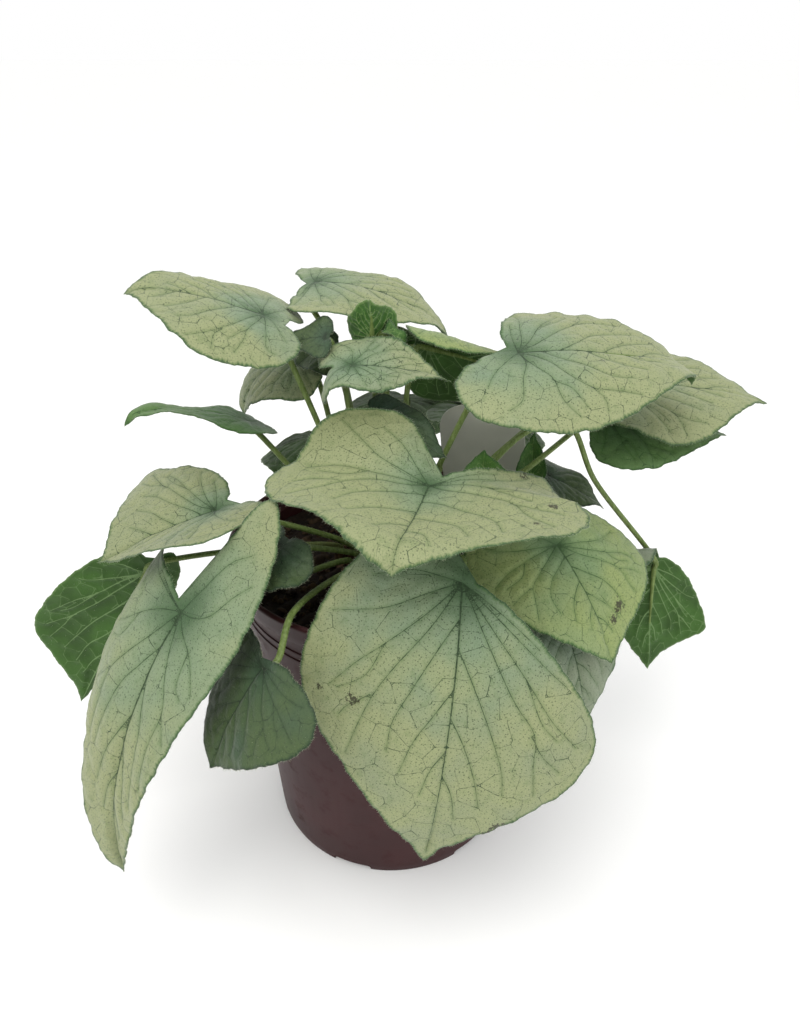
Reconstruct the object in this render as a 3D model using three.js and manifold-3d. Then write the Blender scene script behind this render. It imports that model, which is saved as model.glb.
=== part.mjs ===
// A potted silver-leaved brunnera, a garden perennial, in the plastic pot it is sold in.
// Millimetres, +Z up. The origin is the middle of the pot's foot, and -Y is the side shown in front.
// Every leaf is one blade with its own stalk, and every stalk stands in the crown in the middle of the compost.
import * as THREE from "three";
import { mergeVertices } from "three/addons/utils/BufferGeometryUtils.js";
import Module from "manifold-3d";

const wasm = await Module();
wasm.setup();

// Pot: a round three-litre nursery pot.
const POT_HEIGHT = 182;
const RIM_RADIUS = 85;
const FOOT_RADIUS = 69;
const POT_WALL = 1.8;
const BAND_FOOT = 169;
const BAND_FOOT_RADIUS = 79.5;
const POT_SIDES = 48;
const FOOT_NOTCHES = 6;
const NOTCH_WIDTH = 22;
const NOTCH_HEIGHT = 3.5;
const NOTCH_TURN = -18.7;
const DRAIN_HOLES = 6;
const DRAIN_RADIUS = 5;
const DRAIN_RING = 44;
const FLOOR_HEIGHT = 5;

// Compost, and the crown that the leaves grow from.
const COMPOST_TOP = 164;
const CROWN_RADIUS = 30;
const CROWN_TOP = 174;
const CROWN_DEPTH = 26;
const SEAT_GAP = 0.3;

// Plant label: its place on the compost, how it stands, and its panel above the stake.
const LABEL_AT = [55, 34, 166];
const LABEL_TURN = -8;
const LABEL_LEAN = 8;
const LABEL_TILT = 6;
const LABEL_WIDTH = 46;
const LABEL_THICKNESS = 0.8;
const LABEL_STAKE = 14;
const LABEL_DEPTH = 22;
const LABEL_PANEL_FOOT = 24;
const LABEL_PANEL_HEIGHT = 50;

// Leaf blades and stalks.
const BLADE_THICKNESS = 0.8;
const STALK_RADIUS = 1.7;
const STALK_SUNK = 0.35;
const STALK_SIDES = 6;
const STALK_STEPS = 10;
const SOCKET_RADIUS = 2.8;
const SOCKET_DEPTH = 9;

// Half of a heart-shaped blade, from the notch at the stalk round to the tip. Each point gives the
// distance ahead of the stalk as a share of the length, and from the midrib as a share of the half width.
const HALF_HEART = [
  [-0.2, 0.09],
  [-0.31, 0.27],
  [-0.34, 0.5],
  [-0.27, 0.75],
  [-0.09, 0.94],
  [0.13, 1.0],
  [0.37, 0.88],
  [0.6, 0.63],
  [0.8, 0.33],
  [0.93, 0.1],
  [1.0, 0.0],
];

const rad = THREE.MathUtils.degToRad;

// A leaf: at is the joint of stalk and blade; foot is where the stalk leaves the crown, and via is any
// place it passes on its way. heading turns the midrib from +X towards +Y, pitch tips it down, roll lifts
// its left half, and aim turns the blade in its own plane. length runs from the joint to the tip. bend is
// how much further the midrib turns down on its way to the tip, and hook the same for the last third;
// sweep turns it left. back turns the lobes down, and twist rolls them.
// Where a value has two numbers, the first is the left half's: fold lifts the half from the midrib, curl
// turns it down towards its margin, lobe is how long its lobe is, skew slides its margin towards the tip,
// and full makes its outline rounder near the tip than a plain heart.
const LEAVES = {
  leaf_front: {
    at: [32, -75, 207], heading: -95, pitch: 46, roll: -4, length: 139, width: 138,
    bend: 50, sweep: -8, fold: [5, 5], curl: [35, 30], back: 55, lobe: [0.2, 0.8], skew: [0.9, 0.5], foot: [7, -22],
  },
  leaf_centre: {
    at: [18, -45, 238], heading: -105, pitch: 5, roll: 1, length: 66, width: [110, 115],
    bend: -20, hook: 120, twist: 62, fold: [10, 18], curl: [16, 25], back: -35, lobe: [0.4, 1.4],
    skew: [-0.3, -0.2], full: [1.35, 1.15], foot: [6, -13],
  },
  leaf_upper_left: {
    at: [-58, 12, 297], heading: -168, pitch: -24, roll: -10, length: 64, width: 76,
    bend: 15, hook: 50, fold: [5, 5], curl: [30, 30], back: 10, lobe: [0.8, 1], full: [0.7, 0], foot: [-14, 3],
  },
  leaf_upper_back: {
    at: [-39, 65, 298.5], heading: -13, pitch: -4, roll: 5, length: 80, width: [72, 80],
    bend: 45, hook: 20, fold: [5, 5], curl: [30, 15], back: 10, lobe: [0.55, 0.2], foot: [-12, 18],
    via: [[-28, 56, 262]],
  },
  leaf_middle: {
    at: [-17, -5, 279], heading: -8, pitch: -5, roll: 0, length: 46, width: [38, 30],
    bend: 25, fold: [25, -5], curl: [0, 50], back: 50, lobe: [1, 1.6], foot: [-5, 0],
  },
  leaf_back_left: {
    at: [-45, 40, 266], heading: -170, pitch: 0, roll: -12, length: 52, width: 58,
    bend: 90, fold: [10, 10], curl: [40, 40], back: 10, lobe: [0.5, 0.5], foot: [-20, 9],
  },
  leaf_behind_left: {
    at: [-28, 31, 274], heading: -175, pitch: 5, roll: -20, length: 22, width: 34,
    bend: 40, fold: [10, 10], curl: [40, 40], back: 10, lobe: [0.4, 0.4], foot: [-12, 12], tone: "shaded",
  },
  leaf_left_edge: {
    at: [-70, 14, 242], heading: -171, pitch: -24, roll: 10, length: 64, width: 34,
    bend: 30, hook: 60, fold: [5, 5], curl: [20, 20], back: 10, lobe: [0.6, 0.6], foot: [-24, 7], tone: "shaded",
  },
  leaf_left: {
    at: [-82, -28, 215], heading: -162, pitch: 10, roll: -14, length: 60, width: [80, 92],
    bend: 20, fold: [34, 0], curl: [10, 20], back: 0, lobe: [1, 0.6], skew: [0, 0.2], full: [0, 1.6],
    foot: [-19, -4],
  },
  leaf_far_left: {
    at: [-124, -20, 174], heading: 180, pitch: 60, roll: 90, length: 92, width: [76, 34],
    bend: 15, fold: [5, 5], curl: [20, 20], back: 10, lobe: [0.6, 0.6], skew: [0.9, 0], full: [0.5, 0], foot: [-26, -4],
  },
  leaf_big_left: {
    at: [-91, -75, 191], heading: -105, pitch: 45, aim: -20, length: 152, width: [74, 90],
    bend: 55, sweep: 14, fold: [25, 5], curl: [20, 70], back: -10, lobe: [1.15, 0.1], skew: [-0.25, -0.35],
    full: [-0.4, -0.1], foot: [-20, -17], via: [[-62, -54, 188.5]],
  },
  leaf_low_left: {
    at: [-53, -96, 178], heading: -150, pitch: 45, roll: 0, length: 54, width: 84,
    bend: 25, fold: [5, 5], curl: [30, 30], back: 0, lobe: [0.5, 0.2], foot: [-13, -23], tone: "shaded",
    via: [[-42, -74, 190]],
  },
  leaf_shade: {
    at: [-50, -52, 212], heading: -142, pitch: 12, roll: 0, length: 42, width: 50,
    bend: 35, fold: [5, 5], curl: [30, 30], back: 0, lobe: [0.6, 0.6], foot: [-11, -15], tone: "shaded",
  },
  leaf_right: {
    at: [78, -44, 206], heading: -58, pitch: 24, roll: 2, length: 60, width: 92,
    bend: 40, fold: [5, 5], curl: [30, 30], back: 0, skew: [0.25, -0.2], foot: [17, -11],
  },
  leaf_hanging: {
    at: [80, -62, 180], heading: -60, pitch: 49, roll: 0, length: 56, width: 70,
    bend: 30, fold: [5, 5], curl: [30, 30], back: 0, foot: [19, -18],
    via: [[62, -50, 192]],
  },
  leaf_far_right: {
    at: [149, 20, 149], heading: 93, pitch: 104, length: 62, width: [60, 66],
    bend: 10, fold: [5, 5], curl: [10, 10], back: 85, lobe: [1.4, 0.7], skew: [-0.3, 1], foot: [24, 1],
    via: [[66, 7, 238], [88, 10, 243], [107, 13, 209]],
  },
  leaf_upper_right: {
    at: [59, -5, 285], heading: 7, pitch: -2, roll: 9, length: 96, width: 98,
    bend: 20, hook: 60, fold: [5, 5], curl: [20, 50], back: 0, lobe: [0.3, 1], skew: [0.3, 0], foot: [9, 1],
  },
  leaf_right_top: {
    at: [113, 50, 250], heading: -14, pitch: -6, roll: 10, length: 86, width: [96, 86],
    bend: 20, fold: [5, 5], curl: [30, 30], back: 0, skew: [0, 0.6], full: [0, 0.3], foot: [15, 9],
    via: [[64, 24, 226]],
  },
  leaf_right_under: {
    at: [116, 42, 234.5], heading: -8, pitch: 0, roll: 14, length: 66, width: [74, 80],
    bend: 20, fold: [5, 5], curl: [30, 30], back: 0, lobe: [0.4, 0.4], foot: [21, 6], tone: "shaded",
    via: [[70, 14, 214]],
  },
  leaf_behind_right: {
    at: [20, 36, 274], heading: -10, pitch: 12, roll: -70, length: 60, width: 66,
    bend: 10, fold: [0, 0], curl: [10, 100], back: 0, lobe: [0.6, 0.6], foot: [5, 16],
  },
  leaf_behind_centre: {
    at: [-8, -4, 253], heading: -30, pitch: 10, roll: 20, length: 42, width: [36, 48],
    bend: 20, fold: [5, 5], curl: [20, 20], back: 0, lobe: [0.4, 0.4], foot: [2, -6], tone: "shaded",
  },
  leaf_young_front: {
    at: [46, -14, 213], heading: 95, pitch: -70, roll: 0, length: 26, width: 34,
    bend: -30, fold: [10, 10], curl: [0, 0], back: 0, foot: [14, -4], tone: "young",
  },
  leaf_young_fan: {
    at: [-8, 18, 284], heading: -90, pitch: -70, roll: 0, length: 25, width: 28,
    bend: 20, fold: [30, 30], curl: [0, 0], back: 0, foot: [-3, 8], tone: "young",
  },
  leaf_young_dark: {
    at: [-30, 14, 286], heading: 175, pitch: 5, roll: -30, length: 20, width: 24,
    bend: 20, fold: [10, 10], curl: [20, 20], back: 0, lobe: [0.5, 0.5], foot: [-8, 7], tone: "shaded",
  },
  leaf_young_narrow: {
    at: [-1, 16, 288], heading: -5, pitch: 35, roll: 20, length: 15, width: 12,
    bend: 30, fold: [30, 30], curl: [0, 0], back: 0, lobe: [0.4, 0.4], foot: [3, 5], tone: "young",
  },
  leaf_pale_behind: {
    at: [2, 53, 268], heading: 0, pitch: -10, roll: -50, length: 30, width: 30,
    bend: 20, fold: [10, 10], curl: [20, 20], back: 0, lobe: [0.5, 0.5], foot: [0, 17],
  },
  leaf_young_right: {
    at: [75, 22, 206], heading: 80, pitch: -62, roll: 0, length: 24, width: 18,
    bend: -20, fold: [30, 30], curl: [0, 0], back: 0, lobe: [0.5, 0.5], foot: [24, 10], tone: "young",
  },
  leaf_grey_behind: {
    at: [88, 40, 197], heading: -12, pitch: 18, roll: 10, length: 38, width: 34,
    bend: 20, fold: [10, 10], curl: [30, 30], back: 0, lobe: [0.5, 0.5], foot: [21, 15], tone: "shaded",
    via: [[72, 30, 184]],
  },
  leaf_back_left_low: {
    at: [-46, 78, 204], heading: 116, pitch: 34, roll: 0, length: 70, width: 66,
    bend: 50, fold: [5, 5], curl: [30, 30], back: 0, lobe: [0.7, 0.7], foot: [-17, 21], via: [[-34, 56, 200]],
  },
  leaf_back_middle: {
    at: [10, 92, 222], heading: 88, pitch: 28, roll: 0, length: 82, width: 78,
    bend: 55, fold: [5, 5], curl: [30, 30], back: 0, foot: [3, 24], via: [[4, 66, 214]],
  },
  leaf_back_right_low: {
    at: [56, 86, 212], heading: 62, pitch: 32, roll: 0, length: 70, width: 76,
    bend: 50, fold: [5, 5], curl: [30, 30], back: 0, foot: [13, 18], via: [[38, 60, 208]],
  },
};

// Turns from the frame at the joint to the frame at a distance along the midrib.
function turnsAt(leaf, x) {
  const share = x / leaf.length;
  const ahead = Math.max(share, 0);
  const behind = Math.max(-share, 0) / 0.34;
  const last = Math.max(ahead - 0.66, 0) / 0.34;
  return {
    down: rad((leaf.bend ?? 0) * ahead + (leaf.hook ?? 0) * last * last - (leaf.back ?? 0) * behind),
    left: rad((leaf.sweep ?? 0) * ahead),
    roll: rad((leaf.twist ?? 0) * Math.min(share, 0)),
  };
}

// The midrib's place and frame at a distance from the joint, negative in the lobes.
function spineAt(leaf, x) {
  const steps = Math.max(1, Math.ceil(Math.abs(x) / 6));
  const place = new THREE.Vector3();
  const step = x / steps;
  const along = new THREE.Vector3();
  const aim = (at) => {
    const t = turnsAt(leaf, at);
    return along.set(Math.cos(t.down) * Math.cos(t.left), Math.cos(t.down) * Math.sin(t.left), -Math.sin(t.down));
  };
  for (let i = 0; i < steps; i++) place.addScaledVector(aim((i + 0.5) * step), step);
  const turns = turnsAt(leaf, x);
  const ahead = aim(x).clone();
  const side = new THREE.Vector3(-Math.sin(turns.left), Math.cos(turns.left), 0).applyAxisAngle(ahead, turns.roll);
  const up = new THREE.Vector3().crossVectors(ahead, side);
  return { place, ahead, side, up };
}

// Across the blade: how far out and how far up a point lies when it is that far from the midrib.
function acrossAt(leaf, y) {
  const hand = y >= 0 ? 0 : 1;
  const reach = Math.abs(y);
  const fold = rad((leaf.fold ?? [0, 0])[hand]);
  const curl = rad((leaf.curl ?? [0, 0])[hand]);
  const steps = 6;
  let out = 0;
  let rise = 0;
  for (let i = 0; i < steps; i++) {
    const share = ((i + 0.5) / steps) * (reach / halfWidth(leaf, hand));
    const slope = fold - curl * share;
    out += (Math.cos(slope) * reach) / steps;
    rise += (Math.sin(slope) * reach) / steps;
  }
  return { out: y >= 0 ? out : -out, rise };
}

// The blade's middle surface in the leaf's own frame, from a flat place on it.
function bladePoint(leaf, x, y, margin, angle) {
  const { place, side, up } = spineAt(leaf, x);
  const { out, rise } = acrossAt(leaf, y);
  const [height, count, phase] = leaf.wave ?? [1.5, 4, 0];
  const wave = height * Math.sin(count * angle + phase) * margin * margin;
  return place.clone().addScaledVector(side, out).addScaledVector(up, rise + wave);
}

// A blade's width is one number, or one for each half where the halves differ.
function halfWidth(leaf, hand) {
  return (Array.isArray(leaf.width) ? leaf.width[hand] : leaf.width) / 2;
}

// Flat outline points, from the left lobe's notch by the tip to the right lobe's.
function heartOutline(leaf, perHalf) {
  const sideOf = (hand) => {
    const lobe = (leaf.lobe ?? [1, 1])[hand];
    const skew = (leaf.skew ?? [0, 0])[hand];
    const full = (leaf.full ?? [0, 0])[hand];
    const points = HALF_HEART.map(([a, b]) => {
      const y = b * halfWidth(leaf, hand) * (1 + 4 * full * Math.max(a, 0) ** 2 * (1 - a));
      const along = leaf.length * (a < 0 ? a * lobe : a) + skew * y * (1 - Math.max(a, 0));
      return new THREE.Vector2(along, hand ? -y : y);
    });
    return new THREE.SplineCurve(points).getSpacedPoints(perHalf);
  };
  return [...sideOf(0), ...sideOf(1).slice(0, -1).reverse()];
}

function matrixOf(leaf) {
  const turn = new THREE.Matrix4().makeRotationZ(rad(leaf.heading));
  turn.multiply(new THREE.Matrix4().makeRotationY(rad(leaf.pitch ?? 0)));
  turn.multiply(new THREE.Matrix4().makeRotationX(rad(leaf.roll ?? 0)));
  turn.multiply(new THREE.Matrix4().makeRotationZ(rad(leaf.aim ?? 0)));
  return turn.setPosition(...leaf.at);
}

// A closed blade: the same triangles on both faces, joined by a rim.
function bladeGeometry(leaf, perHalf, rings) {
  const outline = heartOutline(leaf, perHalf);
  const last = outline.length - 1;
  const middle = [bladePoint(leaf, 0, 0, 0, 0)];
  for (const ring of rings)
    outline.forEach((p, i) => {
      const angle = (i / last - 0.5) * 2 * Math.PI;
      middle.push(bladePoint(leaf, p.x * ring, p.y * ring, ring, angle));
    });
  const at = (ring, ray) => (ring < 0 ? 0 : 1 + ring * (last + 1) + ray);
  const triangles = [];
  for (let i = 0; i < last; i++) {
    triangles.push([at(-1, 0), at(0, i + 1), at(0, i)]);
    for (let r = 0; r < rings.length - 1; r++) {
      triangles.push([at(r, i), at(r, i + 1), at(r + 1, i + 1)]);
      triangles.push([at(r, i), at(r + 1, i + 1), at(r + 1, i)]);
    }
  }
  const normals = middle.map(() => new THREE.Vector3());
  for (const [a, b, c] of triangles) {
    const n = new THREE.Vector3().subVectors(middle[b], middle[a]);
    n.cross(new THREE.Vector3().subVectors(middle[c], middle[a]));
    for (const v of [a, b, c]) normals[v].add(n);
  }
  const count = middle.length;
  const points = [];
  for (const face of [0.5, -0.5])
    middle.forEach((p, i) => {
      const n = normals[i].clone().normalize();
      points.push(...p.clone().addScaledVector(n, -face * BLADE_THICKNESS).toArray());
    });
  const faces = [];
  for (const [a, b, c] of triangles) faces.push(a + count, b + count, c + count, a, c, b);
  const rim = [0];
  rings.forEach((_, r) => rim.push(at(r, 0)));
  for (let i = 1; i <= last; i++) rim.push(at(rings.length - 1, i));
  for (let r = rings.length - 2; r >= 0; r--) rim.push(at(r, last));
  rim.forEach((a, i) => {
    const b = rim[(i + 1) % rim.length];
    faces.push(a, a + count, b + count, a, b + count, b);
  });
  const geometry = new THREE.BufferGeometry();
  geometry.setAttribute("position", new THREE.Float32BufferAttribute(points, 3));
  geometry.setIndex(faces);
  return geometry.applyMatrix4(matrixOf(leaf));
}

// The stalk: up out of the crown, then bent under the joint and a little way along the midrib.
function stalkCurve(leaf) {
  const frame = matrixOf(leaf);
  const under = (x, drop) => {
    const { place, up } = spineAt(leaf, x);
    return place.clone().addScaledVector(up, -drop).applyMatrix4(frame);
  };
  const foot = new THREE.Vector3(leaf.foot[0], leaf.foot[1], CROWN_TOP - SOCKET_DEPTH + SEAT_GAP);
  const joint = under(0, STALK_RADIUS - STALK_SUNK);
  const end = under(0.1 * leaf.length, STALK_RADIUS - STALK_SUNK);
  const before = under(-0.09 * leaf.length, STALK_RADIUS + 2.5);
  const middle = foot.clone().add(new THREE.Vector3(0, 0, SOCKET_DEPTH - 2));
  const rise = foot.clone().add(new THREE.Vector3(0, 0, SOCKET_DEPTH + 4));
  const via = (leaf.via ?? []).map((p) => new THREE.Vector3(...p));
  return new THREE.CatmullRomCurve3([foot, middle, rise, ...via, before, joint, end]);
}

function stalkGeometry(leaf) {
  const section = new THREE.Shape(
    Array.from({ length: STALK_SIDES }, (_, i) => {
      const a = (i * 2 * Math.PI) / STALK_SIDES;
      return new THREE.Vector2(STALK_RADIUS * Math.cos(a), STALK_RADIUS * Math.sin(a));
    }),
  );
  return new THREE.ExtrudeGeometry(section, { steps: STALK_STEPS, extrudePath: stalkCurve(leaf), bevelEnabled: false });
}

function solidOf(geometry) {
  const bare = new THREE.BufferGeometry();
  const flat = geometry.index ? geometry.toNonIndexed() : geometry;
  bare.setAttribute("position", flat.getAttribute("position"));
  const merged = mergeVertices(bare, 1e-4);
  const corners = merged.index.array;
  const whole = [];
  for (let i = 0; i < corners.length; i += 3) {
    const [a, b, c] = corners.slice(i, i + 3);
    if (a !== b && b !== c && c !== a) whole.push(a, b, c);
  }
  return new wasm.Manifold(
    new wasm.Mesh({ numProp: 3, vertProperties: merged.attributes.position.array, triVerts: Uint32Array.from(whole) }),
  );
}

function geometryOf(solid) {
  const mesh = solid.getMesh();
  const geometry = new THREE.BufferGeometry();
  geometry.setAttribute("position", new THREE.BufferAttribute(Float32Array.from(mesh.vertProperties), 3));
  geometry.setIndex(new THREE.BufferAttribute(Uint32Array.from(mesh.triVerts), 1));
  return geometry;
}

function leafGeometry(leaf) {
  const big = leaf.length > 63;
  const blade = solidOf(bladeGeometry(leaf, big ? 10 : 7, big ? [0.28, 0.55, 0.8, 1] : [0.4, 0.75, 1]));
  return geometryOf(blade.add(solidOf(stalkGeometry(leaf))));
}

// A closed solid turned about the pot's axis from [radius, height] points.
function turned(profile, sides = POT_SIDES) {
  const points = [...profile, profile[0]].map(([r, z]) => new THREE.Vector2(r, z));
  return new THREE.LatheGeometry(points, sides).rotateX(Math.PI / 2);
}

function cylinder(radius, bottom, top, x, y, sides) {
  const geometry = new THREE.CylinderGeometry(radius, radius, top - bottom, sides).rotateX(Math.PI / 2);
  return solidOf(geometry.translate(x, y, (top + bottom) / 2));
}

// The pot's inner wall narrows evenly from the step under its rim band to the floor.
function innerRadius(z) {
  const share = (z - FLOOR_HEIGHT) / (BAND_FOOT - FLOOR_HEIGHT);
  return THREE.MathUtils.lerp(FOOT_RADIUS, BAND_FOOT_RADIUS, share) - POT_WALL;
}

function potGeometry() {
  const bandInside = RIM_RADIUS - 1 - POT_WALL;
  let pot = solidOf(
    turned([
      [0, 0],
      [FOOT_RADIUS - 1.5, 0],
      [FOOT_RADIUS, 1.5],
      [BAND_FOOT_RADIUS, BAND_FOOT],
      [RIM_RADIUS - 1.6, BAND_FOOT + 1.2],
      [RIM_RADIUS, POT_HEIGHT - 1.2],
      [RIM_RADIUS - 0.8, POT_HEIGHT],
      [bandInside + 0.4, POT_HEIGHT],
      [bandInside - 0.8, BAND_FOOT + 3],
      [innerRadius(BAND_FOOT), BAND_FOOT + 1.8],
      [innerRadius(FLOOR_HEIGHT), FLOOR_HEIGHT],
      [0, FLOOR_HEIGHT],
    ]),
  );
  for (let i = 0; i < FOOT_NOTCHES; i++) {
    const angle = ((i + 0.5) * 2 * Math.PI) / FOOT_NOTCHES + rad(NOTCH_TURN);
    const notch = new THREE.BoxGeometry(24, NOTCH_WIDTH, 2 * NOTCH_HEIGHT).translate(FOOT_RADIUS + 4, 0, 0);
    pot = pot.subtract(solidOf(notch.rotateZ(angle)));
  }
  for (let i = 0; i < DRAIN_HOLES; i++) {
    const angle = (i * 2 * Math.PI) / DRAIN_HOLES;
    pot = pot.subtract(
      cylinder(DRAIN_RADIUS, -1, FLOOR_HEIGHT + 1, DRAIN_RING * Math.cos(angle), DRAIN_RING * Math.sin(angle), 12),
    );
  }
  return geometryOf(pot);
}

// The compost fills the pot to just under the band, a little higher round the crown and never quite level.
function compostGeometry() {
  const rings = [];
  for (let r = innerRadius(COMPOST_TOP) - 6; r > CROWN_RADIUS - 4; r -= 7) rings.push([r, COMPOST_TOP + 0.5]);
  const geometry = turned([
    [0, FLOOR_HEIGHT + SEAT_GAP],
    [innerRadius(FLOOR_HEIGHT) - SEAT_GAP, FLOOR_HEIGHT + SEAT_GAP],
    [innerRadius(COMPOST_TOP) - SEAT_GAP, COMPOST_TOP],
    ...rings,
    [0, COMPOST_TOP + 0.5],
  ]);
  const place = geometry.getAttribute("position");
  for (let i = 0; i < place.count; i++) {
    const [x, y, z] = [place.getX(i), place.getY(i), place.getZ(i)];
    if (z <= COMPOST_TOP + 0.1) continue;
    const mound = 4 * Math.exp(-((Math.hypot(x, y) / 50) ** 4));
    const lumps = 0.9 * Math.sin(0.31 * x + 1) * Math.sin(0.27 * y + 2) + 0.6 * Math.sin(0.62 * x - 0.55 * y);
    place.setZ(i, z + mound + lumps);
  }
  let compost = solidOf(geometry);
  compost = compost.subtract(
    cylinder(CROWN_RADIUS + SEAT_GAP, CROWN_TOP - CROWN_DEPTH - SEAT_GAP, CROWN_TOP + 10, 0, 0, 36),
  );
  const slot = new THREE.BoxGeometry(LABEL_STAKE + 0.8, LABEL_THICKNESS + 0.8, 80).translate(0, 0, 0);
  return geometryOf(compost.subtract(solidOf(slot.applyMatrix4(labelMatrix()))));
}

// The crown is a low woody dome with one plain hole for each stalk.
function crownGeometry() {
  const bottom = CROWN_TOP - CROWN_DEPTH;
  let crown = solidOf(
    turned(
      [
        [0, bottom],
        [CROWN_RADIUS - 2, bottom],
        [CROWN_RADIUS, bottom + 3],
        [CROWN_RADIUS, CROWN_TOP - 6],
        [CROWN_RADIUS - 3, CROWN_TOP - 3],
        [CROWN_RADIUS - 10, CROWN_TOP - 0.8],
        [0, CROWN_TOP],
      ],
      36,
    ),
  );
  for (const { foot } of Object.values(LEAVES))
    crown = crown.subtract(
      cylinder(SOCKET_RADIUS, CROWN_TOP - SOCKET_DEPTH, CROWN_TOP + 5, foot[0], foot[1], STALK_SIDES * 2),
    );
  return geometryOf(crown);
}

// The plant label: a plain plastic panel with a rounded top, on a stake pushed into the compost.
function labelMatrix() {
  const turn = new THREE.Matrix4().makeRotationZ(rad(LABEL_TURN));
  turn.multiply(new THREE.Matrix4().makeRotationX(rad(-LABEL_LEAN)));
  turn.multiply(new THREE.Matrix4().makeRotationY(rad(-LABEL_TILT)));
  return turn.setPosition(...LABEL_AT);
}

function labelGeometry() {
  const half = LABEL_WIDTH / 2;
  const shoulder = LABEL_PANEL_FOOT + LABEL_PANEL_HEIGHT - 14;
  const top = LABEL_PANEL_FOOT + LABEL_PANEL_HEIGHT;
  const outline = new THREE.Shape();
  outline.moveTo(0, -LABEL_DEPTH);
  outline.lineTo(LABEL_STAKE / 2, 8 - LABEL_DEPTH);
  outline.lineTo(LABEL_STAKE / 2, LABEL_PANEL_FOOT - 4);
  outline.lineTo(half, LABEL_PANEL_FOOT);
  outline.lineTo(half, shoulder);
  outline.bezierCurveTo(half, top - 3, half - 8, top, 0, top);
  outline.bezierCurveTo(8 - half, top, -half, top - 3, -half, shoulder);
  outline.lineTo(-half, LABEL_PANEL_FOOT);
  outline.lineTo(-LABEL_STAKE / 2, LABEL_PANEL_FOOT - 4);
  outline.lineTo(-LABEL_STAKE / 2, 8 - LABEL_DEPTH);
  const plate = new THREE.ExtrudeGeometry(outline, { depth: LABEL_THICKNESS, bevelEnabled: false, curveSegments: 6 });
  plate.rotateX(Math.PI / 2).translate(0, LABEL_THICKNESS / 2, 0);
  return plate.applyMatrix4(labelMatrix());
}

const group = new THREE.Group();

function add(name, geometry, material) {
  const mesh = new THREE.Mesh(geometry, material);
  mesh.name = name;
  group.add(mesh);
}

const surface = (color, roughness) => new THREE.MeshStandardMaterial({ color, roughness, metalness: 0 });
const LEAF_TONES = {
  silver: surface(0xa4ae84, 0.6),
  shaded: surface(0x55704c, 0.6),
  young: surface(0x3f6a22, 0.6),
};

add("pot", potGeometry(), surface(0x4a3030, 0.45));
add("compost", compostGeometry(), surface(0x2a211b, 0.95));
add("crown", crownGeometry(), surface(0x5a4632, 0.9));
add("plant_label", labelGeometry(), surface(0xc9cbb8, 0.4));
for (const [name, leaf] of Object.entries(LEAVES)) add(name, leafGeometry(leaf), LEAF_TONES[leaf.tone ?? "silver"]);

export default group;
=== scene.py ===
# %% [markdown]
# # A potted silver-leaved brunnera
#
# This lesson dresses a garden perennial in its nursery pot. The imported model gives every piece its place,
# size and movement, and each cell here makes one piece or one finish finer: the blades with their veins,
# the stalks, the hairs, the compost, the crown, the pot and the plant label.
# Everything is in metres, +Z is up, and the origin is the middle of the pot's foot.

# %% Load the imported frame
import math

import bmesh
import bpy
import numpy as np
from mathutils import Matrix, Vector
from mathutils.geometry import delaunay_2d_cdt
from mathutils.kdtree import KDTree


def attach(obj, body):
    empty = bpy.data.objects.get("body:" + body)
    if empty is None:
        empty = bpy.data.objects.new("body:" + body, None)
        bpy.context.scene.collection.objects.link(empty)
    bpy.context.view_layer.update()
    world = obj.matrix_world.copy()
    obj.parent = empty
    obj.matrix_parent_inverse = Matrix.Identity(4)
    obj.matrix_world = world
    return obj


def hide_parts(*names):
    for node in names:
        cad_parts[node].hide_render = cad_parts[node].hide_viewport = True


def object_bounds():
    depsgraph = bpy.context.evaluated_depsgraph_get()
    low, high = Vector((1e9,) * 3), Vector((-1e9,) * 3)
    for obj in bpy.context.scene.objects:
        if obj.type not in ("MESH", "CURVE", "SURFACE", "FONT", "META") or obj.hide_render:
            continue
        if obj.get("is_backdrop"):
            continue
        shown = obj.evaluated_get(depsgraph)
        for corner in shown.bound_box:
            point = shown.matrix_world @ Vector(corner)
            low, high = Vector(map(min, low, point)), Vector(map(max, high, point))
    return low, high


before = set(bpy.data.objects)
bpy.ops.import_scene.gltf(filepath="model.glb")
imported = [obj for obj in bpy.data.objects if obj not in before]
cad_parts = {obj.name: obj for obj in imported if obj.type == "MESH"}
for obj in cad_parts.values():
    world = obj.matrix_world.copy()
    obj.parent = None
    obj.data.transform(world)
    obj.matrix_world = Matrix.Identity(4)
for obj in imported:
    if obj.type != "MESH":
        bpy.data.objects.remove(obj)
cad_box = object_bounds()
print("frame:", len(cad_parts), "nodes on the body root")

# %% [markdown]
# ## Camera
# The photograph looks down on the plant from a little above its leaves. A camera's place can be found from
# something round and upright, so it was worked out from the ellipse of the pot's foot and the slope of its
# sides. The lens is given for a sensor whose long side is 36 mm, which here is the picture's height.

# %% Camera
CAMERA_PLACE = (0.0053, -0.354, 0.410)
CAMERA_BELOW_LEVEL = 31.0
CAMERA_LENS = 28.125

camera_lens = bpy.data.cameras.new("camera")
camera_lens.lens = CAMERA_LENS
camera_lens.sensor_width = 36.0
camera = bpy.data.objects.new("camera", camera_lens)
camera.location = CAMERA_PLACE
camera.rotation_euler = (math.radians(90 - CAMERA_BELOW_LEVEL), 0, 0)
bpy.context.scene.collection.objects.link(camera)
bpy.context.scene.camera = camera
print("camera", CAMERA_BELOW_LEVEL, "degrees below level, lens", CAMERA_LENS)

# %% [markdown]
# ## Shader expressions
# A finish is a tree of nodes. Written node by node it is long and hard to read, so one small class wraps an
# output and lets sums and products be typed as they are thought of: `1 - mask` adds a Math node. Colours
# go through Mix nodes and vectors through Vector Math, because a Math node would turn them grey.
# Any other node comes from `Finish.node`, which takes its type, its settings and its sockets in that order.

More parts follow.
